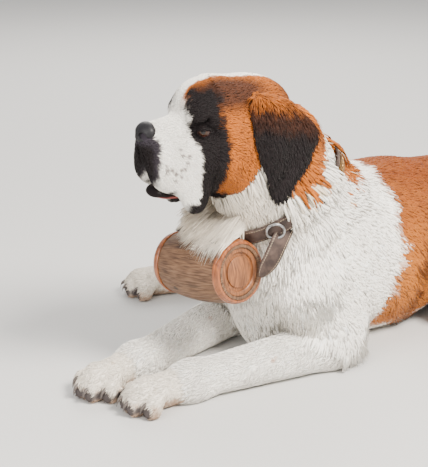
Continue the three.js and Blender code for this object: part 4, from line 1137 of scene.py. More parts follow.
@dataclass
class CoatPiece:
    """One piece of the coat: a region of the skin and the tufts that grow there."""

    name: str
    slot: str
    where: Callable[[Array, Array], Array]
    count: int
    length: float
    width: float
    rise: float
    clump: float = 0.0
    stray: float = 0.10
    tuft: Tuft = Tuft.LONG
    hug: bool = False
    over: Optional[Field] = None
    lie: Optional[Callable[[Array, Array, np.random.Generator], Array]] = None
    colour: Optional[Callable[[Array], Array]] = None
    crown: float = 0.22

    def grow(self, roots: Roots, parts: Array, finish: bpy.types.Material) -> bpy.types.Object:
        """Grow the tufts as one mesh.

        Args:
            roots: Where tufts can grow.
            parts: The Part value of each triangle of the roots.
            finish: The tufts' material.

        Returns:
            The coat piece.
        """
        rng = np.random.default_rng(SEED + sum(map(ord, self.name)))
        base, normal, uv = roots.spread(self.where(roots.middle, parts), self.count, rng)
        lie = self.lie(base, normal, rng) if self.lie else lie_of(base, normal, rng, self.stray)
        n = len(base)
        share = self.local_length(base)
        length = self.length * rng.uniform(0.72, 1.25, n) * share
        width = self.width * rng.uniform(0.75, 1.25, n) * np.sqrt(share)
        rise = self.rise * rng.uniform(0.7, 1.2, n)
        pull = self.gather(base, lie, length) if self.clump else np.zeros((n, 3))
        points = self.points(Tufts(base, normal, lie, length, width, rise, rng.normal(0, 0.10, n), pull))
        low = FLOOR_GAP + 2.0 * np.repeat(rng.random(n), len(points) // n)
        points[:, 2] = np.where(points[:, 2] < low, low, points[:, 2])
        faces = self.faces(n)
        made = mesh_object(self.name, points, faces)
        self.dress(made, base, uv, rng, faces)
        made.data.materials.append(finish)
        return made

    def points(self, tufts: Tufts) -> Array:
        """Return the points of all tufts, ring by ring from root to tip."""
        side = np.cross(tufts.normal, tufts.lie)
        rings = []
        for t, wide, up, pull in self.tuft.value:
            mid = tufts.base + tufts.lie * (t * tufts.length)[:, None]
            mid = mid + tufts.normal * (up * tufts.rise)[:, None]
            mid = mid + side * (tufts.bend * t * t * tufts.length)[:, None] + tufts.pull * pull
            if self.hug and t > 0:
                mid = mid + tufts.normal * np.clip(up * tufts.rise - skin_field(mid), -9, 14)[:, None]
            if self.over is not None:
                mid = mid + slope(self.over, mid) * np.clip(2.0 - self.over(mid), 0, 30)[:, None]
            if wide == 0.0:
                rings.append(mid[:, None])
                continue
            half = (tufts.width * wide / 2)[:, None]
            crown = tufts.normal * (tufts.width * wide * self.crown)[:, None]
            rings.append(np.stack([mid - side * half, mid + crown, mid + side * half], 1))
        return np.concatenate(rings, 1).reshape(-1, 3)

    def faces(self, count: int) -> Array:
        """Return the triangles of all tufts, each a closed tube of three sides that ends in a point."""
        last = 3 * (len(self.tuft.value) - 2)
        tip = last + 3
        one = [[0, 2, 1]]
        for a in range(0, last, 3):
            b = a + 3
            for i in range(3):
                j = (i + 1) % 3
                one += [[a + i, a + j, b + j], [a + i, b + j, b + i]]
        one += [[last, last + 1, tip], [last + 1, last + 2, tip], [last + 2, last, tip]]
        first = np.arange(count) * (tip + 1)
        return (np.array(one)[None] + first[:, None, None]).reshape(-1, 3)

    def local_length(self, p: Array) -> Array:
        """Return how long the hair is at each point, as a share of this piece's length."""
        return np.clip(hair_share(p), 0.22, 2.2)

    def gather(self, base: Array, lie: Array, length: Array) -> Array:
        """Return how far each tip moves towards the middle of its lock."""
        wander = 4 * np.stack([ripple(base, 31, i) for i in range(3)], 1)
        cell = np.floor((base + wander) / 17.0).astype(np.int64)
        _, group = np.unique(cell @ np.array([73856093, 19349663, 83492791]), return_inverse=True)
        size = np.bincount(group)
        tips = base + lie * length[:, None]
        mean = np.stack([np.bincount(group, tips[:, i]) / size for i in range(3)], 1)[group]
        return (mean - tips) * self.clump

    def dress(self, made: bpy.types.Object, base: Array, uv: Array, rng: np.random.Generator,
              faces: Array) -> None:
        """Colour the tufts and give them their strand and bake maps."""
        n = len(base)
        colour = self.colour(base) if self.colour else MARKINGS.colours(base, DOG.part_at(base))
        tone = rng.normal(1.0, 0.06, n) * (1 + 0.06 * ripple(base, 60, 5.0))
        colour = np.clip(colour * tone[:, None], 0, 1)
        rings = self.tuft.value
        t = np.concatenate([[ring.at] * (3 if ring.width else 1) for ring in rings])
        across = np.concatenate([[0.0, 0.5, 1.0] if ring.width else [0.5] for ring in rings])
        k = len(t)
        # Painted shade: each tuft's colour is darker at its root than at its tip.
        shade = 0.94 + 0.09 * t
        tint(made, np.clip(colour[:, None] * shade[None, :, None], 0, 1).reshape(-1, 3))
        strand = np.stack([np.tile(across, n) + np.repeat(rng.random(n) * 9, k),
                           np.tile(t, n) + np.repeat(rng.random(n) * 9, k)], 1)
        patch = np.repeat(uv, k, 0) + 0.003 * (np.stack([np.tile(across, n), np.tile(t, n)], 1) - 0.5)
        for name, at in (("OFBake", patch), ("Strand", strand)):
            layer = made.data.uv_layers.new(name=name)
            layer.data.foreach_set("uv", at[faces.ravel()].astype(np.float32).ravel())


def hair_share(p: Array) -> Array:
    """Return the hair's length at points as a share of its region's usual length."""
    x, y, z = p[:, 0], p[:, 1], p[:, 2]
    share = np.ones(len(p))
    share += 0.7 * near(np.stack([np.abs(x), y, z], 1), (130, 128, 200), (60, 44, 150), 0.4)
    share += 0.5 * near(np.stack([np.abs(x), y, z], 1), (140, 10, 70), (50, 60, 70), 0.4)
    share += 0.7 * ramp(90 - z, 0, 50) * ramp(y, 60, 110) * ramp(640 - y, 0, 60) * (np.abs(x) < 190)
    share += 0.6 * ramp(y, 560, 620) * ramp(200 - z, 0, 80) * ramp(700 - y, 0, 30)
    share *= 1 - 0.64 * ramp(x, 300, 372) * (y > 700)
    share += 0.3 * near(p, (30, 36, 410), (90, 80, 60), 0.4)
    return share


# Ears, eyes, nose, mouth and claws.
def rings_object(name: str, rings: Sequence[Array], closed: bool = False) -> bpy.types.Object:
    """Skin a row of rings with as many points each, capped at both ends or closed on itself.

    Args:
        name: The object's name.
        rings: The rings, in millimetres.
        closed: Whether the last ring joins the first.

    Returns:
        The object.
    """
    bm = bmesh.new()
    made = []
    for ring in rings:
        verts = [bm.verts.new(Vector(p)) for p in ring]
        made.append([bm.edges.new((verts[i], verts[(i + 1) % len(verts)])) for i in range(len(verts))])
    pairs = list(zip(made, made[1:])) + ([(made[-1], made[0])] if closed else [])
    for a, b in pairs:
        bmesh.ops.bridge_loops(bm, edges=a + b)
    if not closed:
        bmesh.ops.holes_fill(bm, edges=bm.edges, sides=0)
    return from_bmesh(name, bm)


def turned_to(at: Sequence[float], way: Sequence[float]) -> Matrix:
    """Return the matrix that moves a piece to a place and turns its Z axis to a direction."""
    return Matrix.Translation(Vector(at)) @ Vector(way).to_track_quat("Z", "Y").to_matrix().to_4x4()


def side_name(side: int) -> str:
    """Return the dog's side by its sign."""
    return "left" if side > 0 else "right"


def smooth_path(rows: Array, count: int) -> Array:
    """Return rows of numbers filled in along a smooth curve through them."""
    rows = np.asarray(rows, float)
    padded = np.vstack([2 * rows[0] - rows[1], rows, 2 * rows[-1] - rows[-2]])
    at = np.linspace(0, len(rows) - 1 - 1e-6, count)
    i, t = at.astype(int), (at % 1)[:, None]
    a, b, c, d = padded[i], padded[i + 1], padded[i + 2], padded[i + 3]
    return 0.5 * (2 * b + (c - a) * t + (2 * a - 5 * b + 4 * c - d) * t * t + (3 * b - a - 3 * c + d) * t ** 3)


@dataclass
class Ears:
    """Two hanging ears, each a thick flap with a raised root and curled edges."""

    sections: tuple[tuple[float, ...], ...] = (
        (-104, 60, 58, 22, 9, 0.2, 2), (-110, 80, 50, 38, 14, 0.15, 5), (-123, 94, 20, 57, 10, 0.1, 10),
        (-140, 97, -22, 64, 7.5, -0.1, 12), (-144, 96, -66, 51, 6.5, -0.35, 11),
        (-133, 95, -102, 31, 5.5, -0.4, 7), (-124, 94, -126, 12, 3.5, -0.4, 2))
    rings: int = 30
    points: int = 40
    wave: float = 3.6

    def build(self, side: int) -> bpy.types.Object:
        """Make one ear, from sections of u, v, w, half width, thickness, tilt and curl."""
        rings = []
        a = np.linspace(0, 2 * math.pi, self.points, endpoint=False)
        for u, v, w, wide, thick, tilt, curl in smooth_path(np.array(self.sections), self.rings):
            across = np.cos(a) * wide
            wave = self.wave * np.sin(across * 0.085 + w * 0.03)
            out = side * (v + np.sin(a) * thick - curl * np.cos(a) ** 2 + wave)
            q = np.stack([u + across * math.cos(tilt), out, w + across * math.sin(tilt)], 1)
            rings.append(HEAD.place(q))
        made = rings_object("ear_" + side_name(side), rings)
        p = self.off_the_head(points_of(made))
        set_points(made, p)
        unwrap(made, 0.01)
        tint(made, self.colour(p))
        return made

    @staticmethod
    def off_the_head(p: Array) -> Array:
        """Return the ear's points, those below its root pushed out of the head and the neck."""
        inside = -np.minimum(DOG.face(p) + 1.0, 0)
        neck = -np.minimum(DOG.neck(p) + 4.0, 0)
        push = np.maximum(inside, neck) * ramp(HEAD.local(p)[:, 2], 60, 36)
        return p + push[:, None] * slope(lambda q: np.minimum(DOG.face(q), DOG.neck(q)), p)

    @staticmethod
    def colour(p: Array) -> Array:
        """Return the ear's colour: near black, with brown towards the top and the rear."""
        q = HEAD.local(p)
        col = np.tile(np.array(PALETTE.black), (len(p), 1))
        height = q[:, 2] - 0.22 * (q[:, 0] + 120) + 8 * ripple(p, 30)
        col = paint(col, PALETTE.brown, 0.9 * ramp(height, -14, 30))
        return paint(col, PALETTE.orange, 0.9 * ramp(height, 26, 54))

    @staticmethod
    def lie(p: Array, normal: Array, rng: np.random.Generator) -> Array:
        """Return the way the ear's hair lies: down the flap and a little back."""
        way = np.tile(HEAD.aim(np.array([-0.25, 0, -1.0])), (len(p), 1)) + rng.normal(0, 0.14, (len(p), 3))
        return unit(way - (way * normal).sum(1, keepdims=True) * normal)


@dataclass
class Eyes:
    """Two eyes with pupil, iris and white, and a bulging clear front."""

    spacing: float = 43.6
    segments: int = 64
    bulge: float = 0.8
    # Painted shade: the eye's white is coloured a dark brown, as it looks in shade under the heavy lids.
    white: Colour = (0.045, 0.02, 0.018)
    rim: Colour = (0.02, 0.012, 0.01)
    iris: Colour = (0.035, 0.012, 0.005)
    pupil: Colour = (0.004, 0.003, 0.003)

    def build(self, side: int, finish: bpy.types.Material) -> bpy.types.Object:
        """Make one eye."""
        centre = HEAD.place((9, side * self.spacing, -1))
        aim = HEAD.aim(np.array([0.62, side * 0.80, 0.02]))
        bm = bmesh.new()
        bmesh.ops.create_uvsphere(bm, u_segments=self.segments, v_segments=self.segments,
                                  radius=EYE_RADIUS - 0.2)
        bmesh.ops.transform(bm, matrix=turned_to(centre, aim), verts=bm.verts)
        made = from_bmesh("eye_" + side_name(side), bm)
        p = points_of(made)
        turn = (unit(p - centre) * aim).sum(1)
        # The eye's white, painted dark brown as painted shade.
        col = np.tile(np.array(self.white), (len(p), 1))
        col = paint(col, self.rim, ramp(turn, 0.62, 0.66))
        col = paint(col, self.iris, ramp(turn, 0.70, 0.75))
        col = paint(col, self.pupil, ramp(turn, 0.925, 0.945))
        set_points(made, p + aim * (self.bulge * ramp(turn, 0.74, 0.98))[:, None])
        tint(made, col)
        made.data.materials.append(finish)
        return made


@dataclass
class Nose:
    """The nose pad with its nostrils and the groove between them."""

    centre: Point = (102.0, 0, -5)
    reach: float = 45.0
    pad: Colour = (0.010, 0.009, 0.011)
    # Painted shade: the nostrils are coloured darker than the pad, the shade inside their hollows.
    nostril: Colour = (0.008, 0.006, 0.006)

    @staticmethod
    def shape() -> Field:
        """Return the distance to the nose in the head's frame."""
        pad = blend([ellipsoid((102, 0, -4), (17, 25, 19)), ellipsoid((110, 0, -10), (11, 14, 14))], 12)
        for s in (1, -1):
            pad = carve(pad, blend([ellipsoid((118, s * 11, -7), (10, 6, 5.5)),
                                    bone((113, s * 14, -10), (104, s * 25, -14), 3.2, 2.2)], 3), 2.5)
        return carve(pad, bone((121, 0, 4), (118, 0, -26), 1.2, 1.2), 3)

    def build(self, finish: bpy.types.Material) -> bpy.types.Object:
        """Make the nose from a fine ball drawn out to its shape."""
        bm = bmesh.new()
        bmesh.ops.create_icosphere(bm, subdivisions=6, radius=1.0)
        made = from_bmesh("nose", bm)
        shape = self.shape()
        way = unit(points_of(made))
        far_t = np.full(len(way), self.reach)
        for t in np.linspace(1, self.reach, 60)[::-1]:
            far_t = np.where(shape(self.centre + way * t) > 0, t, far_t)
        near_t = far_t - 0.8
        for _ in range(8):
            mid = (near_t + far_t) / 2
            inside = shape(self.centre + way * mid[:, None]) < 0
            near_t, far_t = np.where(inside, mid, near_t), np.where(inside, far_t, mid)
        q = self.centre + way * near_t[:, None]
        set_points(made, HEAD.place(q))
        # Painted shade: the nostrils' hollows are coloured darker than the pad.
        hole = np.minimum(near(q, (112, 12, -8), (9, 5.5, 5)) + near(q, (112, -12, -8), (9, 5.5, 5)), 1)
        tint(made, paint(np.tile(np.array(self.pad), (len(q), 1)), self.nostril, hole))
        made.data.materials.append(finish)
        return made


@dataclass
class Claws:
    """The claws of one paw, each a curved horn that tapers to a blunt tip."""

    length: float = 8.5
    rings: int = 9
    points: int = 14

    def build(self, paw: Paw, finish: bpy.types.Material) -> bpy.types.Object:
        """Make the four claws of a paw as one mesh."""
        ahead, across, tips, _ = paw.toe_line()
        girth, face = paw.girth, 15 * paw.girth
        rows = smooth_path(np.array([
            (face - 4, 30 * girth, 4.6 * girth), (face + 2, 28.5 * girth, 4.3 * girth),
            (face + 4 + self.length * 0.5, 24 * girth, 3.4 * girth),
            (face + 2 + self.length, 14 * girth, 1.2)]), self.rings)
        a = np.linspace(0, 2 * math.pi, self.points, endpoint=False)
        bm = bmesh.new()
        for tip in tips:
            rings = []
            for along, z, size in rows:
                ring = tip + ahead * along + across * (np.cos(a) * size * 0.8)[:, None]
                ring[:, 2] = z + np.sin(a) * size
                verts = [bm.verts.new(Vector(p)) for p in ring]
                rings.append([bm.edges.new(pair) for pair in zip(verts, verts[1:] + verts[:1])])
            for one, two in zip(rings, rings[1:]):
                bmesh.ops.bridge_loops(bm, edges=one + two)
            bmesh.ops.holes_fill(bm, edges=rings[0] + rings[-1], sides=0)
        made = from_bmesh(f"{paw.claw}s_{paw.side}", bm)
        made.data.materials.append(finish)
        return made


@dataclass
class Tongue:
    """The tongue, a flat pad with a groove along its middle."""

    radii: Point = (26, 13, 5.5)
    middle: Point = (48, 0, -100)
    groove: float = 2.2

    def build(self, finish: bpy.types.Material) -> bpy.types.Object:
        """Make the tongue from a ball."""
        bm = bmesh.new()
        bmesh.ops.create_icosphere(bm, subdivisions=5, radius=1.0)
        made = from_bmesh("tongue", bm)
        q = points_of(made) * np.array(self.radii)
        q[:, 2] -= self.groove * np.exp(-(q[:, 1] / 3.0) ** 2) * (q[:, 2] > 0)
        q[:, 2] -= 0.006 * np.clip(q[:, 0], 0, 60) ** 2
        set_points(made, HEAD.place(q + np.array(self.middle)))
        tint(made, np.tile(np.array(PALETTE.pink), (len(q), 1)))
        made.data.materials.append(finish)
        return made


# Keg, collar and straps.
@dataclass
class Keg:
    """A small wooden keg: staves, a turned rim at each end and a recessed board with a ring."""

    centre: Array = field(default_factory=lambda: np.array([8.0, -244, 216]))
    axis: Array = field(default_factory=lambda: unit(np.array([0.985, 0.04, 0.13])))
    length: float = 176.0
    radius: float = 64.0
    end_radius: float = 53.0
    hoop: float = 15.0
    staves: int = 16
    fine: int = 8

    def outline(self, y: float) -> float:
        """Return the keg's radius at a distance from its middle."""
        return self.radius - (self.radius - self.end_radius) * (y / (self.length / 2)) ** 2

    def turned(self, name: str, profile: Sequence[tuple[float, float]], finish: bpy.types.Material,
               grooves: float = 0.0, tones: bool = False) -> bpy.types.Object:
        """Turn a profile of (radius, place along the axis) round the keg's axis.

        Args:
            name: The object's name.
            profile: The profile.
            finish: Its material.
            grooves: How deep the joints between the staves are.
            tones: Whether each stave has its own tone.

        Returns:
            The turned piece, with a Grain map along its staves.
        """
        count = self.staves * self.fine
        bm = bmesh.new()
        verts = [bm.verts.new((r, 0, y)) for r, y in profile]
        edges = [bm.edges.new(pair) for pair in zip(verts, verts[1:])]
        bmesh.ops.spin(bm, geom=verts + edges, cent=(0, 0, 0), axis=(0, 0, 1), angle=2 * math.pi, steps=count,
                       use_merge=True, use_duplicate=False)
        bmesh.ops.remove_doubles(bm, verts=bm.verts, dist=0.01)
        layer = bm.loops.layers.uv.new("Grain")
        rng = np.random.default_rng(SEED + 5)
        tone = rng.uniform(0.72, 1.2, self.staves)
        colours = bm.loops.layers.float_color.new("Coat")
        for face in bm.faces:
            mid = face.calc_center_median()
            middle = math.atan2(mid.y, mid.x)
            stave = int((middle / (2 * math.pi) * self.staves) % self.staves)
            for loop in face.loops:
                at = loop.vert.co
                a = math.atan2(at.y, at.x) if at.xy.length > 0.01 else middle
                a = middle + (a - middle + math.pi) % (2 * math.pi) - math.pi
                radial = at.xy.length
                if grooves:
                    loop[layer].uv = (a * self.radius + stave * 37, at.z + stave * 61)
                else:
                    loop[layer].uv = (at.x + 300 + radial * 0.2, at.y * 1.0)
                shade = float(tone[stave]) if tones else 1.0
                loop[colours] = (shade, shade * 0.98, shade * 0.95, 1)
        if grooves:
            for vert in bm.verts:
                r = vert.co.xy.length
                if r < 1:
                    continue
                a = math.atan2(vert.co.y, vert.co.x) / (2 * math.pi) * count
                if round(a) % self.fine == 0:
                    vert.co.xy *= (r - grooves) / r
        bmesh.ops.transform(bm, matrix=turned_to(self.centre, self.axis), verts=bm.verts)
        made = from_bmesh(name, bm)
        made.data.materials.append(finish)
        made.data.set_sharp_from_angle(angle=math.radians(38))
        return made

    def build(self, stave_wood: bpy.types.Material, rim_wood: bpy.types.Material,
              board_wood: bpy.types.Material) -> dict[str, bpy.types.Object]:
        """Make the keg's pieces, by the names of the nodes they stand for."""
        half = self.length / 2
        inner = half - self.hoop
        end = self.end_radius
        body = [(0, -half + 12), (end - 9, -half + 12), (end - 9, -half + 1), (end - 8, -half),
                (end - 3, -half)]
        body += [(self.outline(-inner) - 3, -inner - 0.3)]
        body += [(self.outline(y), y) for y in np.linspace(-inner, inner, 25)]
        body += [(self.outline(inner) - 3, inner + 0.3), (end - 3, half), (end - 8, half), (end - 9, half - 1)]
        body += [(end - 9, half - 12), (0, half - 12)]
        made = {"keg": self.turned("keg", body, stave_wood, 1.1, True)}
        for s in (1, -1):
            side = side_name(s)
            start = self.outline(inner)
            rim = [(start - 2.6, inner + 0.7), (start + 0.8, inner + 0.7), (start + 2.0, inner + 2.2),
                   (start + 1.9, inner + 6), (start + 0.7, inner + 7), (start + 0.9, inner + 8.2),
                   (end + 2.8, half - 2.6), (end + 2.2, half - 0.8), (end + 0.6, half), (end - 2.0, half),
                   (end - 2.4, half - 1.0)]
            rim = [(r, s * y) for r, y in rim]
            made["keg_hoop_" + side] = self.turned("keg_hoop_" + side, rim + rim[:1], rim_wood)
            r = end - 9.3
            board = [(0, half - 11.7), (r, half - 11.7), (r, half - 4), (r - 1, half - 3), (r - 7, half - 3),
                     (r - 8.5, half - 4.2), (r - 9, half - 7), (r - 15, half - 7), (r - 15.6, half - 4.4),
                     (r - 17, half - 3.6), (14, half - 3.4), (12, half - 2.4), (0, half - 2.2)]
            board = [(a, s * b) for a, b in board]
            made["keg_board_" + side] = self.turned("keg_board_" + side, board, board_wood)
        return made


def full_neck(p: Array) -> Array:
    """Return the distance to the neck run into the chest, which the collar lies on."""
    return soften(DOG.neck(p), DOG.torso(p), 20)


@dataclass
class Collar:
    """The collar band with its plate and ring, the loose end and the keg's hangers."""

    middle: Array = field(default_factory=lambda: np.array([6.0, -92, 345]))
    back: Array = field(default_factory=lambda: np.array([0, 0.86, 0.51]))
    side: Array = field(default_factory=lambda: np.array([1.0, 0, 0]))
    width: float = 30.0
    thickness: float = 5.0

    def on_neck(self, angle: float, off: float = 0.0) -> tuple[Array, Array, Array]:
        """Return a place on the neck, the way out there and the way along the neck."""
        out = self.side * math.cos(angle) + self.back * math.sin(angle)
        reach = np.linspace(20, 240, 440)
        d = full_neck(self.middle + out * reach[:, None])
        first = reach[np.argmax(d > 0)]
        return self.middle + out * (first + off), out, np.cross(self.side, self.back)

    def around(self, p: Array) -> tuple[Array, Array]:
        """Return how far points lie along the neck from the collar, and their angle round it in degrees."""
        from_middle = p - self.middle
        along = from_middle @ np.cross(self.side, self.back)
        return along, np.degrees(np.arctan2(from_middle @ self.back, from_middle @ self.side))

    @staticmethod
    def tape(name: str, rings: Sequence[tuple[Array, Array, Array, float, float]], finish: bpy.types.Material,
             closed: bool = False) -> bpy.types.Object:
        """Make a strap of rounded section.

        Args:
            name: The object's name.
            rings: For each station its place on the underside, the way across, the way out, half the width
                and the thickness.
            finish: Its material.
            closed: Whether it is a loop.

        Returns:
            The strap, with a Grain map: across from -1 to 1, and along in millimetres.
        """
        section = np.array([(-1, 0.25), (-0.94, 0.05), (0.94, 0.05), (1, 0.25), (1, 0.7), (0.93, 0.95),
                            (0.6, 1.0), (0.0, 1.05), (-0.6, 1.0), (-0.93, 0.95), (-1, 0.7)])
        loops = []
        for at, across, out, half, thick in rings:
            loops.append(at + across * (section[:, :1] * half) + out * (section[:, 1:] * thick))
        made = rings_object(name, loops, closed)
        mesh = made.data
        layer = mesh.uv_layers.new(name="Grain")
        middles = np.array([r[0] for r in rings])
        along = np.concatenate([[0], np.cumsum(np.linalg.norm(np.diff(middles, axis=0), axis=1))])
        p = points_of(made)
        spot = np.argmin(np.linalg.norm(p[:, None] - middles[None], axis=2), 1)
        sideways = np.array([(at - middles[k]) @ rings[k][1] / max(rings[k][3], 1e-6)
                             for at, k in zip(p, spot)])
        for polygon in mesh.polygons:
            for k in polygon.loop_indices:
                i = mesh.loops[k].vertex_index
                layer.data[k].uv = (sideways[i], along[spot[i]])
        mesh.materials.append(finish)
        return made

    def band(self, finish: bpy.types.Material) -> bpy.types.Object:
        """Make the collar itself."""
        rings = []
        for angle in np.linspace(0, 2 * math.pi, 120, endpoint=False):
            at, out, along = self.on_neck(angle, 0.6)
            rings.append((at, along, out, self.width / 2, self.thickness))
        return self.tape("collar", rings, finish, True)

    def plate(self, finish: bpy.types.Material) -> bpy.types.Object:
        """Make the ornamental plate behind the ear: a rounded plate with plain domed bosses."""
        rings = []
        for angle in np.radians(np.linspace(22, 50, 30)):
            at, out, along = self.on_neck(angle, self.thickness + 0.9)
            t = abs(math.degrees(angle) - 36) / 14
            rings.append((at, along, out, 10.0 * math.sqrt(max(1 - t ** 4, 0.02)), 2.2))
        made = self.tape("collar_plate", rings, finish)
        bm = bmesh.new()
        bm.from_mesh(made.data)
        bmesh.ops.scale(bm, vec=(1000,) * 3, verts=bm.verts)
        for degrees, size in ((27, 3.0), (31.5, 3.8), (36, 5.0), (40.5, 3.8), (45, 3.0)):
            at, out, _ = self.on_neck(math.radians(degrees), self.thickness + 3.0)
            bmesh.ops.create_uvsphere(bm, u_segments=24, v_segments=12, radius=size,
                                      matrix=turned_to(at, out) @ Matrix.Diagonal((1, 1, 0.5, 1)))
        old = made.data
        bpy.data.objects.remove(made)
        bpy.data.meshes.remove(old)
        made = from_bmesh("collar_plate", bm)
        made.data.materials.append(finish)
        return made

    def ring(self, finish: bpy.types.Material) -> bpy.types.Object:
        """Make the steel ring on the collar's near side."""
        at, out, _ = self.on_neck(math.radians(-42), self.thickness + 5)
        bm = bmesh.new()
        circle = bmesh.ops.create_circle(bm, segments=20, radius=2.6)
        bmesh.ops.rotate(bm, cent=(0, 0, 0), matrix=Matrix.Rotation(math.pi / 2, 3, "X"), verts=circle["verts"])
        bmesh.ops.translate(bm, vec=(16, 0, 0), verts=circle["verts"])
        bmesh.ops.spin(bm, geom=bm.verts[:] + bm.edges[:], cent=(0, 0, 0), axis=(0, 0, 1), angle=2 * math.pi,
                       steps=64, use_merge=True, use_duplicate=False)
        bmesh.ops.remove_doubles(bm, verts=bm.verts, dist=0.01)
        bmesh.ops.transform(bm, matrix=turned_to(at, out), verts=bm.verts)
        made = from_bmesh("buckle", bm)
        made.data.materials.append(finish)
        return made

    def loose_end(self, finish: bpy.types.Material) -> bpy.types.Object:
        """Make the collar's loose end, pointed, over the keg's near end."""
        rows = np.array([(101, -112, 334, 16.5), (110, -142, 303, 17), (115, -168, 272, 17),
                         (115, -185, 246, 16.5), (111, -194, 231, 14.5), (107, -200, 219, 9),
                         (105, -203, 213, 2)], float)
        return self.hung("strap_end", rows, np.array([0.93, -0.32, 0.16]), 4.2, finish)

    def hanger(self, side: int, finish: bpy.types.Material) -> bpy.types.Object:
        """Make one strap that carries the keg."""
        start, _, _ = self.on_neck(math.radians(-90 + side * 24), self.thickness + 1)
        x = 8 + side * 46
        rows = np.array([(*start, 9), (x, -206, 284, 9), (x, -228, 285.5, 9), (x, -250, 284.5, 9),
                         (x, -272, 277, 9)])
        return self.hung("hanger_" + side_name(side), rows, np.array([0, 0, 1.0]), 3.5, finish)

    def hung(self, name: str, rows: Array, out: Array, thickness: float,
             finish: bpy.types.Material) -> bpy.types.Object:
        """Make a loose strap along a smooth line.

        Args:
            name: The object's name.
            rows: For each point of the line its place and half the strap's width.
            out: The way that the strap's outer side looks.
            thickness: The strap's thickness.
            finish: Its material.

        Returns:
            The strap.
        """
        path = smooth_path(rows, 40)
        last = len(path) - 1
        out = unit(out)
        rings = []
        for i, row in enumerate(path):
            along = unit(path[min(i + 1, last), :3] - path[max(i - 1, 0), :3])
            normal = unit(out - along * (out @ along))
            rings.append((row[:3], np.cross(along, normal), normal, max(row[3], 1.5), thickness))
        return self.tape(name, rings, finish)


# The whole.
def within(*parts: Part, when: Optional[Callable[[Array], Array]] = None) -> Callable[[Array, Array], Array]:
    """Return a weight that is one on some parts of the body, and further where a test holds."""

    def weight(p: Array, part: Array) -> Array:
        """Return the weight of each triangle."""
        bare = (np.maximum(p[:, 2], 0) > 2.5) * 0.9 + 0.1
        pick = np.isin(part, [k.value for k in parts]) * bare
        return pick * when(p) if when else pick

    return weight


def bare_face(p: Array) -> Array:
    """Return 0 where the head has no hair: eyes, nose, lips' edges and mouth."""
    q = HEAD.local(p)
    mirrored = np.stack([q[:, 0], np.abs(q[:, 1]), q[:, 2]], 1)
    eye = near(mirrored, (15, 56, -4), (12, 11, 6.6), 0.1)
    nose = near(q, (108, 0, -5), (20, 25, 19), 0.1)
    inner = ramp(24 - mirrored[:, 1], 0, 6) * ramp(-q[:, 2], 94, 102) * ramp(q[:, 0], 0, 16)
    return np.clip(1 - eye - nose - inner, 0, 1)


def ahead_of(u: float) -> Callable[[Array], Array]:
    """Return a test for the head ahead of a place, without the bare parts."""
    return lambda p: (HEAD.local(p)[:, 0] > u) * bare_face(p)


def behind(u: float) -> Callable[[Array], Array]:
    """Return a test for the head behind a place."""
    return lambda p: HEAD.local(p)[:, 0] <= u


def along_y(low: float, high: float) -> Callable[[Array], Array]:
    """Return a test for a stretch of the trunk."""
    return lambda p: (p[:, 1] >= low) & (p[:, 1] < high)


EAR_COVER = ((-128, 100, -26), (60, 46, 104))


def off_the_ears(p: Array) -> Array:
    """Return 0 under the ears, where no hair stands, and 1 elsewhere."""
    q = HEAD.local(p)
    return 1 - near(np.stack([q[:, 0], np.abs(q[:, 1]), q[:, 2]], 1), *EAR_COVER, 0.06)


def over_collar(p: Array) -> Array:
    """Return 1 on the neck just above the collar, but not at its ring or its plate."""
    along, angle = Collar().around(p)
    open_to_view = ((angle > -60) & (angle < -27)) | ((angle > 20) & (angle < 52))
    return ((along > 17) & (along < 52) & ~open_to_view) * off_the_ears(p)


def over_keg(p: Array) -> Array:
    """Return 1 on the throat just above the collar's front, where long hair hangs over the keg."""
    along, angle = Collar().around(p)
    return (along > 17) & (along < 48) & (angle > -150) & (angle < -60)


def neck_colour(p: Array) -> Array:
    """Return the markings of the neck, also for roots at the edge of the head."""
    return MARKINGS.colours(p, np.full(len(p), Part.NECK.value))


def forward_lie(p: Array, normal: Array, rng: np.random.Generator) -> Array:
    """Return the way of the throat's hair, which falls forward over the keg."""
    way = np.array([0.0, -0.84, -0.5]) + rng.normal(0, 0.07, (len(p), 3))
    return unit(way + np.stack([0.002 * p[:, 0], np.zeros(len(p)), np.zeros(len(p))], 1))


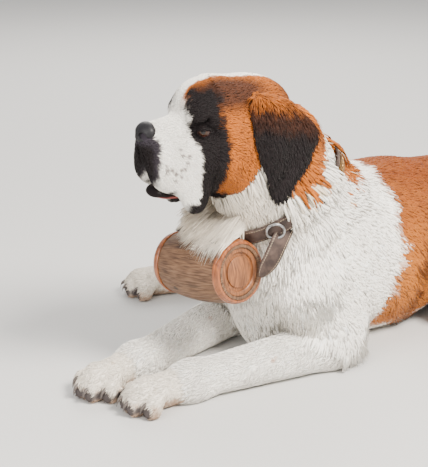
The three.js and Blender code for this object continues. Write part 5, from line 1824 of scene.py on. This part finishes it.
KEG_FORM = bone(Keg().centre - Keg().axis * 72, Keg().centre + Keg().axis * 72, 62, 62)
COAT = (
    CoatPiece("coat_face", "coat_white", within(Part.HEAD, when=ahead_of(-8)), 17000, 6.5, 1.7, 1.3,
              tuft=Tuft.SHORT),
    CoatPiece("coat_skull", "coat_russet", within(Part.HEAD, when=lambda p: behind(-8)(p) * off_the_ears(p)),
              12000, 17.0, 2.9, 3.6, 0.2, tuft=Tuft.SHORT),
    CoatPiece("coat_ruff", "coat_white", within(Part.NECK, when=off_the_ears), 8200, 46, 5.6, 6.5, 0.25,
              hug=True, colour=neck_colour),
    CoatPiece("coat_collar_fringe", "coat_white", within(Part.NECK, Part.TORSO, when=over_collar),
              2300, 62, 6.0, 20, 0.3, colour=neck_colour),
    CoatPiece("coat_throat", "coat_white", within(Part.NECK, when=over_keg), 1700, 82, 6.0, 10, 0.25,
              lie=forward_lie, over=KEG_FORM, colour=neck_colour),
    CoatPiece("coat_chest", "coat_white", within(Part.TORSO, when=along_y(-400, 50)), 12000, 50, 6.0, 4.6, 0.2,
              tuft=Tuft.SHORT, hug=True),
    CoatPiece("coat_shoulders", "coat_white", within(Part.TORSO, when=along_y(50, 230)), 14500, 50, 5.8, 4.6,
              0.2, tuft=Tuft.SHORT, hug=True),
    CoatPiece("coat_back", "coat_russet", within(Part.TORSO, when=along_y(230, 440)), 11500, 48, 5.8, 4.8, 0.25,
              tuft=Tuft.SHORT, hug=True),
    CoatPiece("coat_rump", "coat_russet", within(Part.TORSO, when=along_y(440, 900)), 9500, 48, 6.0, 4.8, 0.25,
              tuft=Tuft.SHORT, hug=True),
    CoatPiece("coat_forelegs", "coat_white", within(Part.FORELEG), 11000, 15, 2.7, 2.6, 0.15, tuft=Tuft.SHORT),
    CoatPiece("coat_paws", "coat_white", within(Part.FOREPAW, Part.HINDPAW, when=lambda p: 1 - toe_pads(p)),
              10500, 8.5, 2.0, 1.5, tuft=Tuft.SHORT),
    CoatPiece("coat_thighs", "coat_russet", within(Part.THIGH), 10500, 40, 5.8, 4.8, 0.25, tuft=Tuft.SHORT,
              hug=True),
    CoatPiece("coat_shank", "coat_russet", within(Part.SHANK), 4500, 17, 3.2, 3.2, 0.15, tuft=Tuft.SHORT),
    CoatPiece("coat_tail", "coat_russet", within(Part.TAIL), 5500, 62, 6.5, 12, 0.35),
)


@dataclass
class Studio:
    """A pale floor, soft lights and the camera at the photograph's angle."""

    camera_at: Point = (1.706, -1.704, 1.007)
    azimuth: float = 49.0
    elevation: float = 18.0
    lens: float = 100.2

    def build(self) -> None:
        """Set up the floor, the lights and the camera."""
        bm = bmesh.new()
        bmesh.ops.create_grid(bm, x_segments=4, y_segments=4, size=9000)
        bmesh.ops.translate(bm, vec=(0, 0, -0.5), verts=bm.verts)
        floor = from_bmesh("floor", bm)
        s = Shader("floor", Roughness=0.9)
        grain = s.noise(s.object((1, 1, 1)), 220.0)
        s.link(s.mix(grain, (0.60, 0.59, 0.57), (0.66, 0.65, 0.63)), "Base Color")
        floor.data.materials.append(s.material)
        world = bpy.data.worlds.new("studio")
        world.use_nodes = True
        world.node_tree.nodes["Background"].inputs["Color"].default_value = (0.95, 0.95, 0.96, 1)
        world.node_tree.nodes["Background"].inputs["Strength"].default_value = 0.8
        bpy.context.scene.world = world
        for name, at, size, power, colour in (
                ("key", (2.6, 0.2, 3.0), 1.2, 390, (1.0, 0.95, 0.88)),
                ("fill", (0.9, -3.3, 1.9), 2.4, 120, (1.0, 0.97, 0.93)),
                ("back", (-2.6, 2.0, 2.6), 2.2, 120, (1.0, 0.97, 0.93))):
            light = bpy.data.lights.new(name, "AREA")
            light.size, light.energy, light.color = size, power, colour
            lamp = bpy.data.objects.new(name, light)
            lamp.location = at
            lamp.rotation_euler = (Vector(at) - Vector((0, 0, 0.25))).to_track_quat("Z", "Y").to_euler()
            bpy.context.collection.objects.link(lamp)
        camera = bpy.data.cameras.new("camera")
        camera.lens, camera.sensor_width, camera.sensor_fit = self.lens, 36.0, "AUTO"
        camera.clip_start, camera.clip_end = 0.05, 60
        seat = bpy.data.objects.new("camera", camera)
        az, el = math.radians(self.azimuth), math.radians(self.elevation)
        away = Vector((math.sin(az) * math.cos(el), -math.cos(az) * math.cos(el), math.sin(el)))
        seat.location = self.camera_at
        seat.rotation_euler = away.to_track_quat("Z", "Y").to_euler()
        bpy.context.collection.objects.link(seat)
        bpy.context.scene.camera = seat


FLESH = ("head", "lower_jaw", "neck", "chest", "loins", "forearm_left", "forearm_right", "forepaw_left",
         "forepaw_right", "thigh_left", "thigh_right", "shank_right", "hindpaw_left", "hindpaw_right",
         "tail_root", "tail_brush", "tail_tip")


def stand_for(made: bpy.types.Object, slot: str, *nodes: str) -> None:
    """Let a piece ride on the body and stand for nodes, and report it."""
    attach(made, BODY)
    if nodes:
        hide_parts(*nodes)
    LOG.info("%s: %d faces", made.name, len(made.data.polygons))


def build_coat(skin: bpy.types.Object, ears: list[bpy.types.Object], hair: bpy.types.Material) -> None:
    """Grow the coat over the skin and the ears."""
    roots = Roots(skin)
    parts = DOG.part_at(roots.middle)
    for piece in COAT:
        stand_for(piece.grow(roots, parts, hair), piece.slot)
    for ear in ears:
        piece = CoatPiece("coat_" + ear.name, "coat_mask", lambda p, part: np.ones(len(p)), 4200, 21, 2.6, 1.9,
                          0.3, tuft=Tuft.SHORT, lie=Ears.lie, colour=Ears.colour)
        ear_roots = Roots(ear)
        stand_for(piece.grow(ear_roots, np.zeros(len(ear_roots.area)), hair), piece.slot)


def main() -> None:
    """Build the dog and what it wears, in order."""
    logging.basicConfig(level=logging.INFO, format="%(message)s")
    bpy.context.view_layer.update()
    skin = Skin().build()
    stand_for(skin, "coat_white", *FLESH)
    ears = [Ears().build(s) for s in (1, -1)]
    short = bpy.data.materials["short_coat"]
    for ear in ears:
        ear.data.materials.append(short)
        stand_for(ear, "coat_mask", ear.name.split(".")[0])
    build_coat(skin, ears, HairFinish().make())
    eyeball = EyeFinish().make()
    for s in (1, -1):
        eye = Eyes().build(s, eyeball)
        stand_for(eye, "eye", eye.name.split(".")[0])
    stand_for(Nose().build(NOSE_PAD.make()), "nose", "nose")
    stand_for(Tongue().build(WET_TONGUE.make()), "mouth", "tongue")
    horn = HornFinish().make()
    for paw in DOG.paws:
        stand_for(Claws().build(paw, horn), "claw", *(f"{paw.claw}_{paw.side}_{i}" for i in range(1, 5)))
    for name, made in Keg().build(STAVE_WOOD.make(), RIM_WOOD.make(), BOARD_WOOD.make()).items():
        stand_for(made, "varnished_wood" if "hoop" in name else "keg_wood", name)
    collar, leather = Collar(), LeatherFinish().make()
    stand_for(collar.band(leather), "leather", "collar")
    stand_for(collar.plate(OLD_BRASS.make()), "metal", "collar_plate")
    stand_for(collar.ring(STEEL.make()), "metal", "buckle")
    stand_for(collar.loose_end(leather), "leather", "strap_end")
    for s in (1, -1):
        stand_for(collar.hanger(s, leather), "leather", "hanger_" + side_name(s))
    Studio().build()


if __name__ == "__main__":
    main()
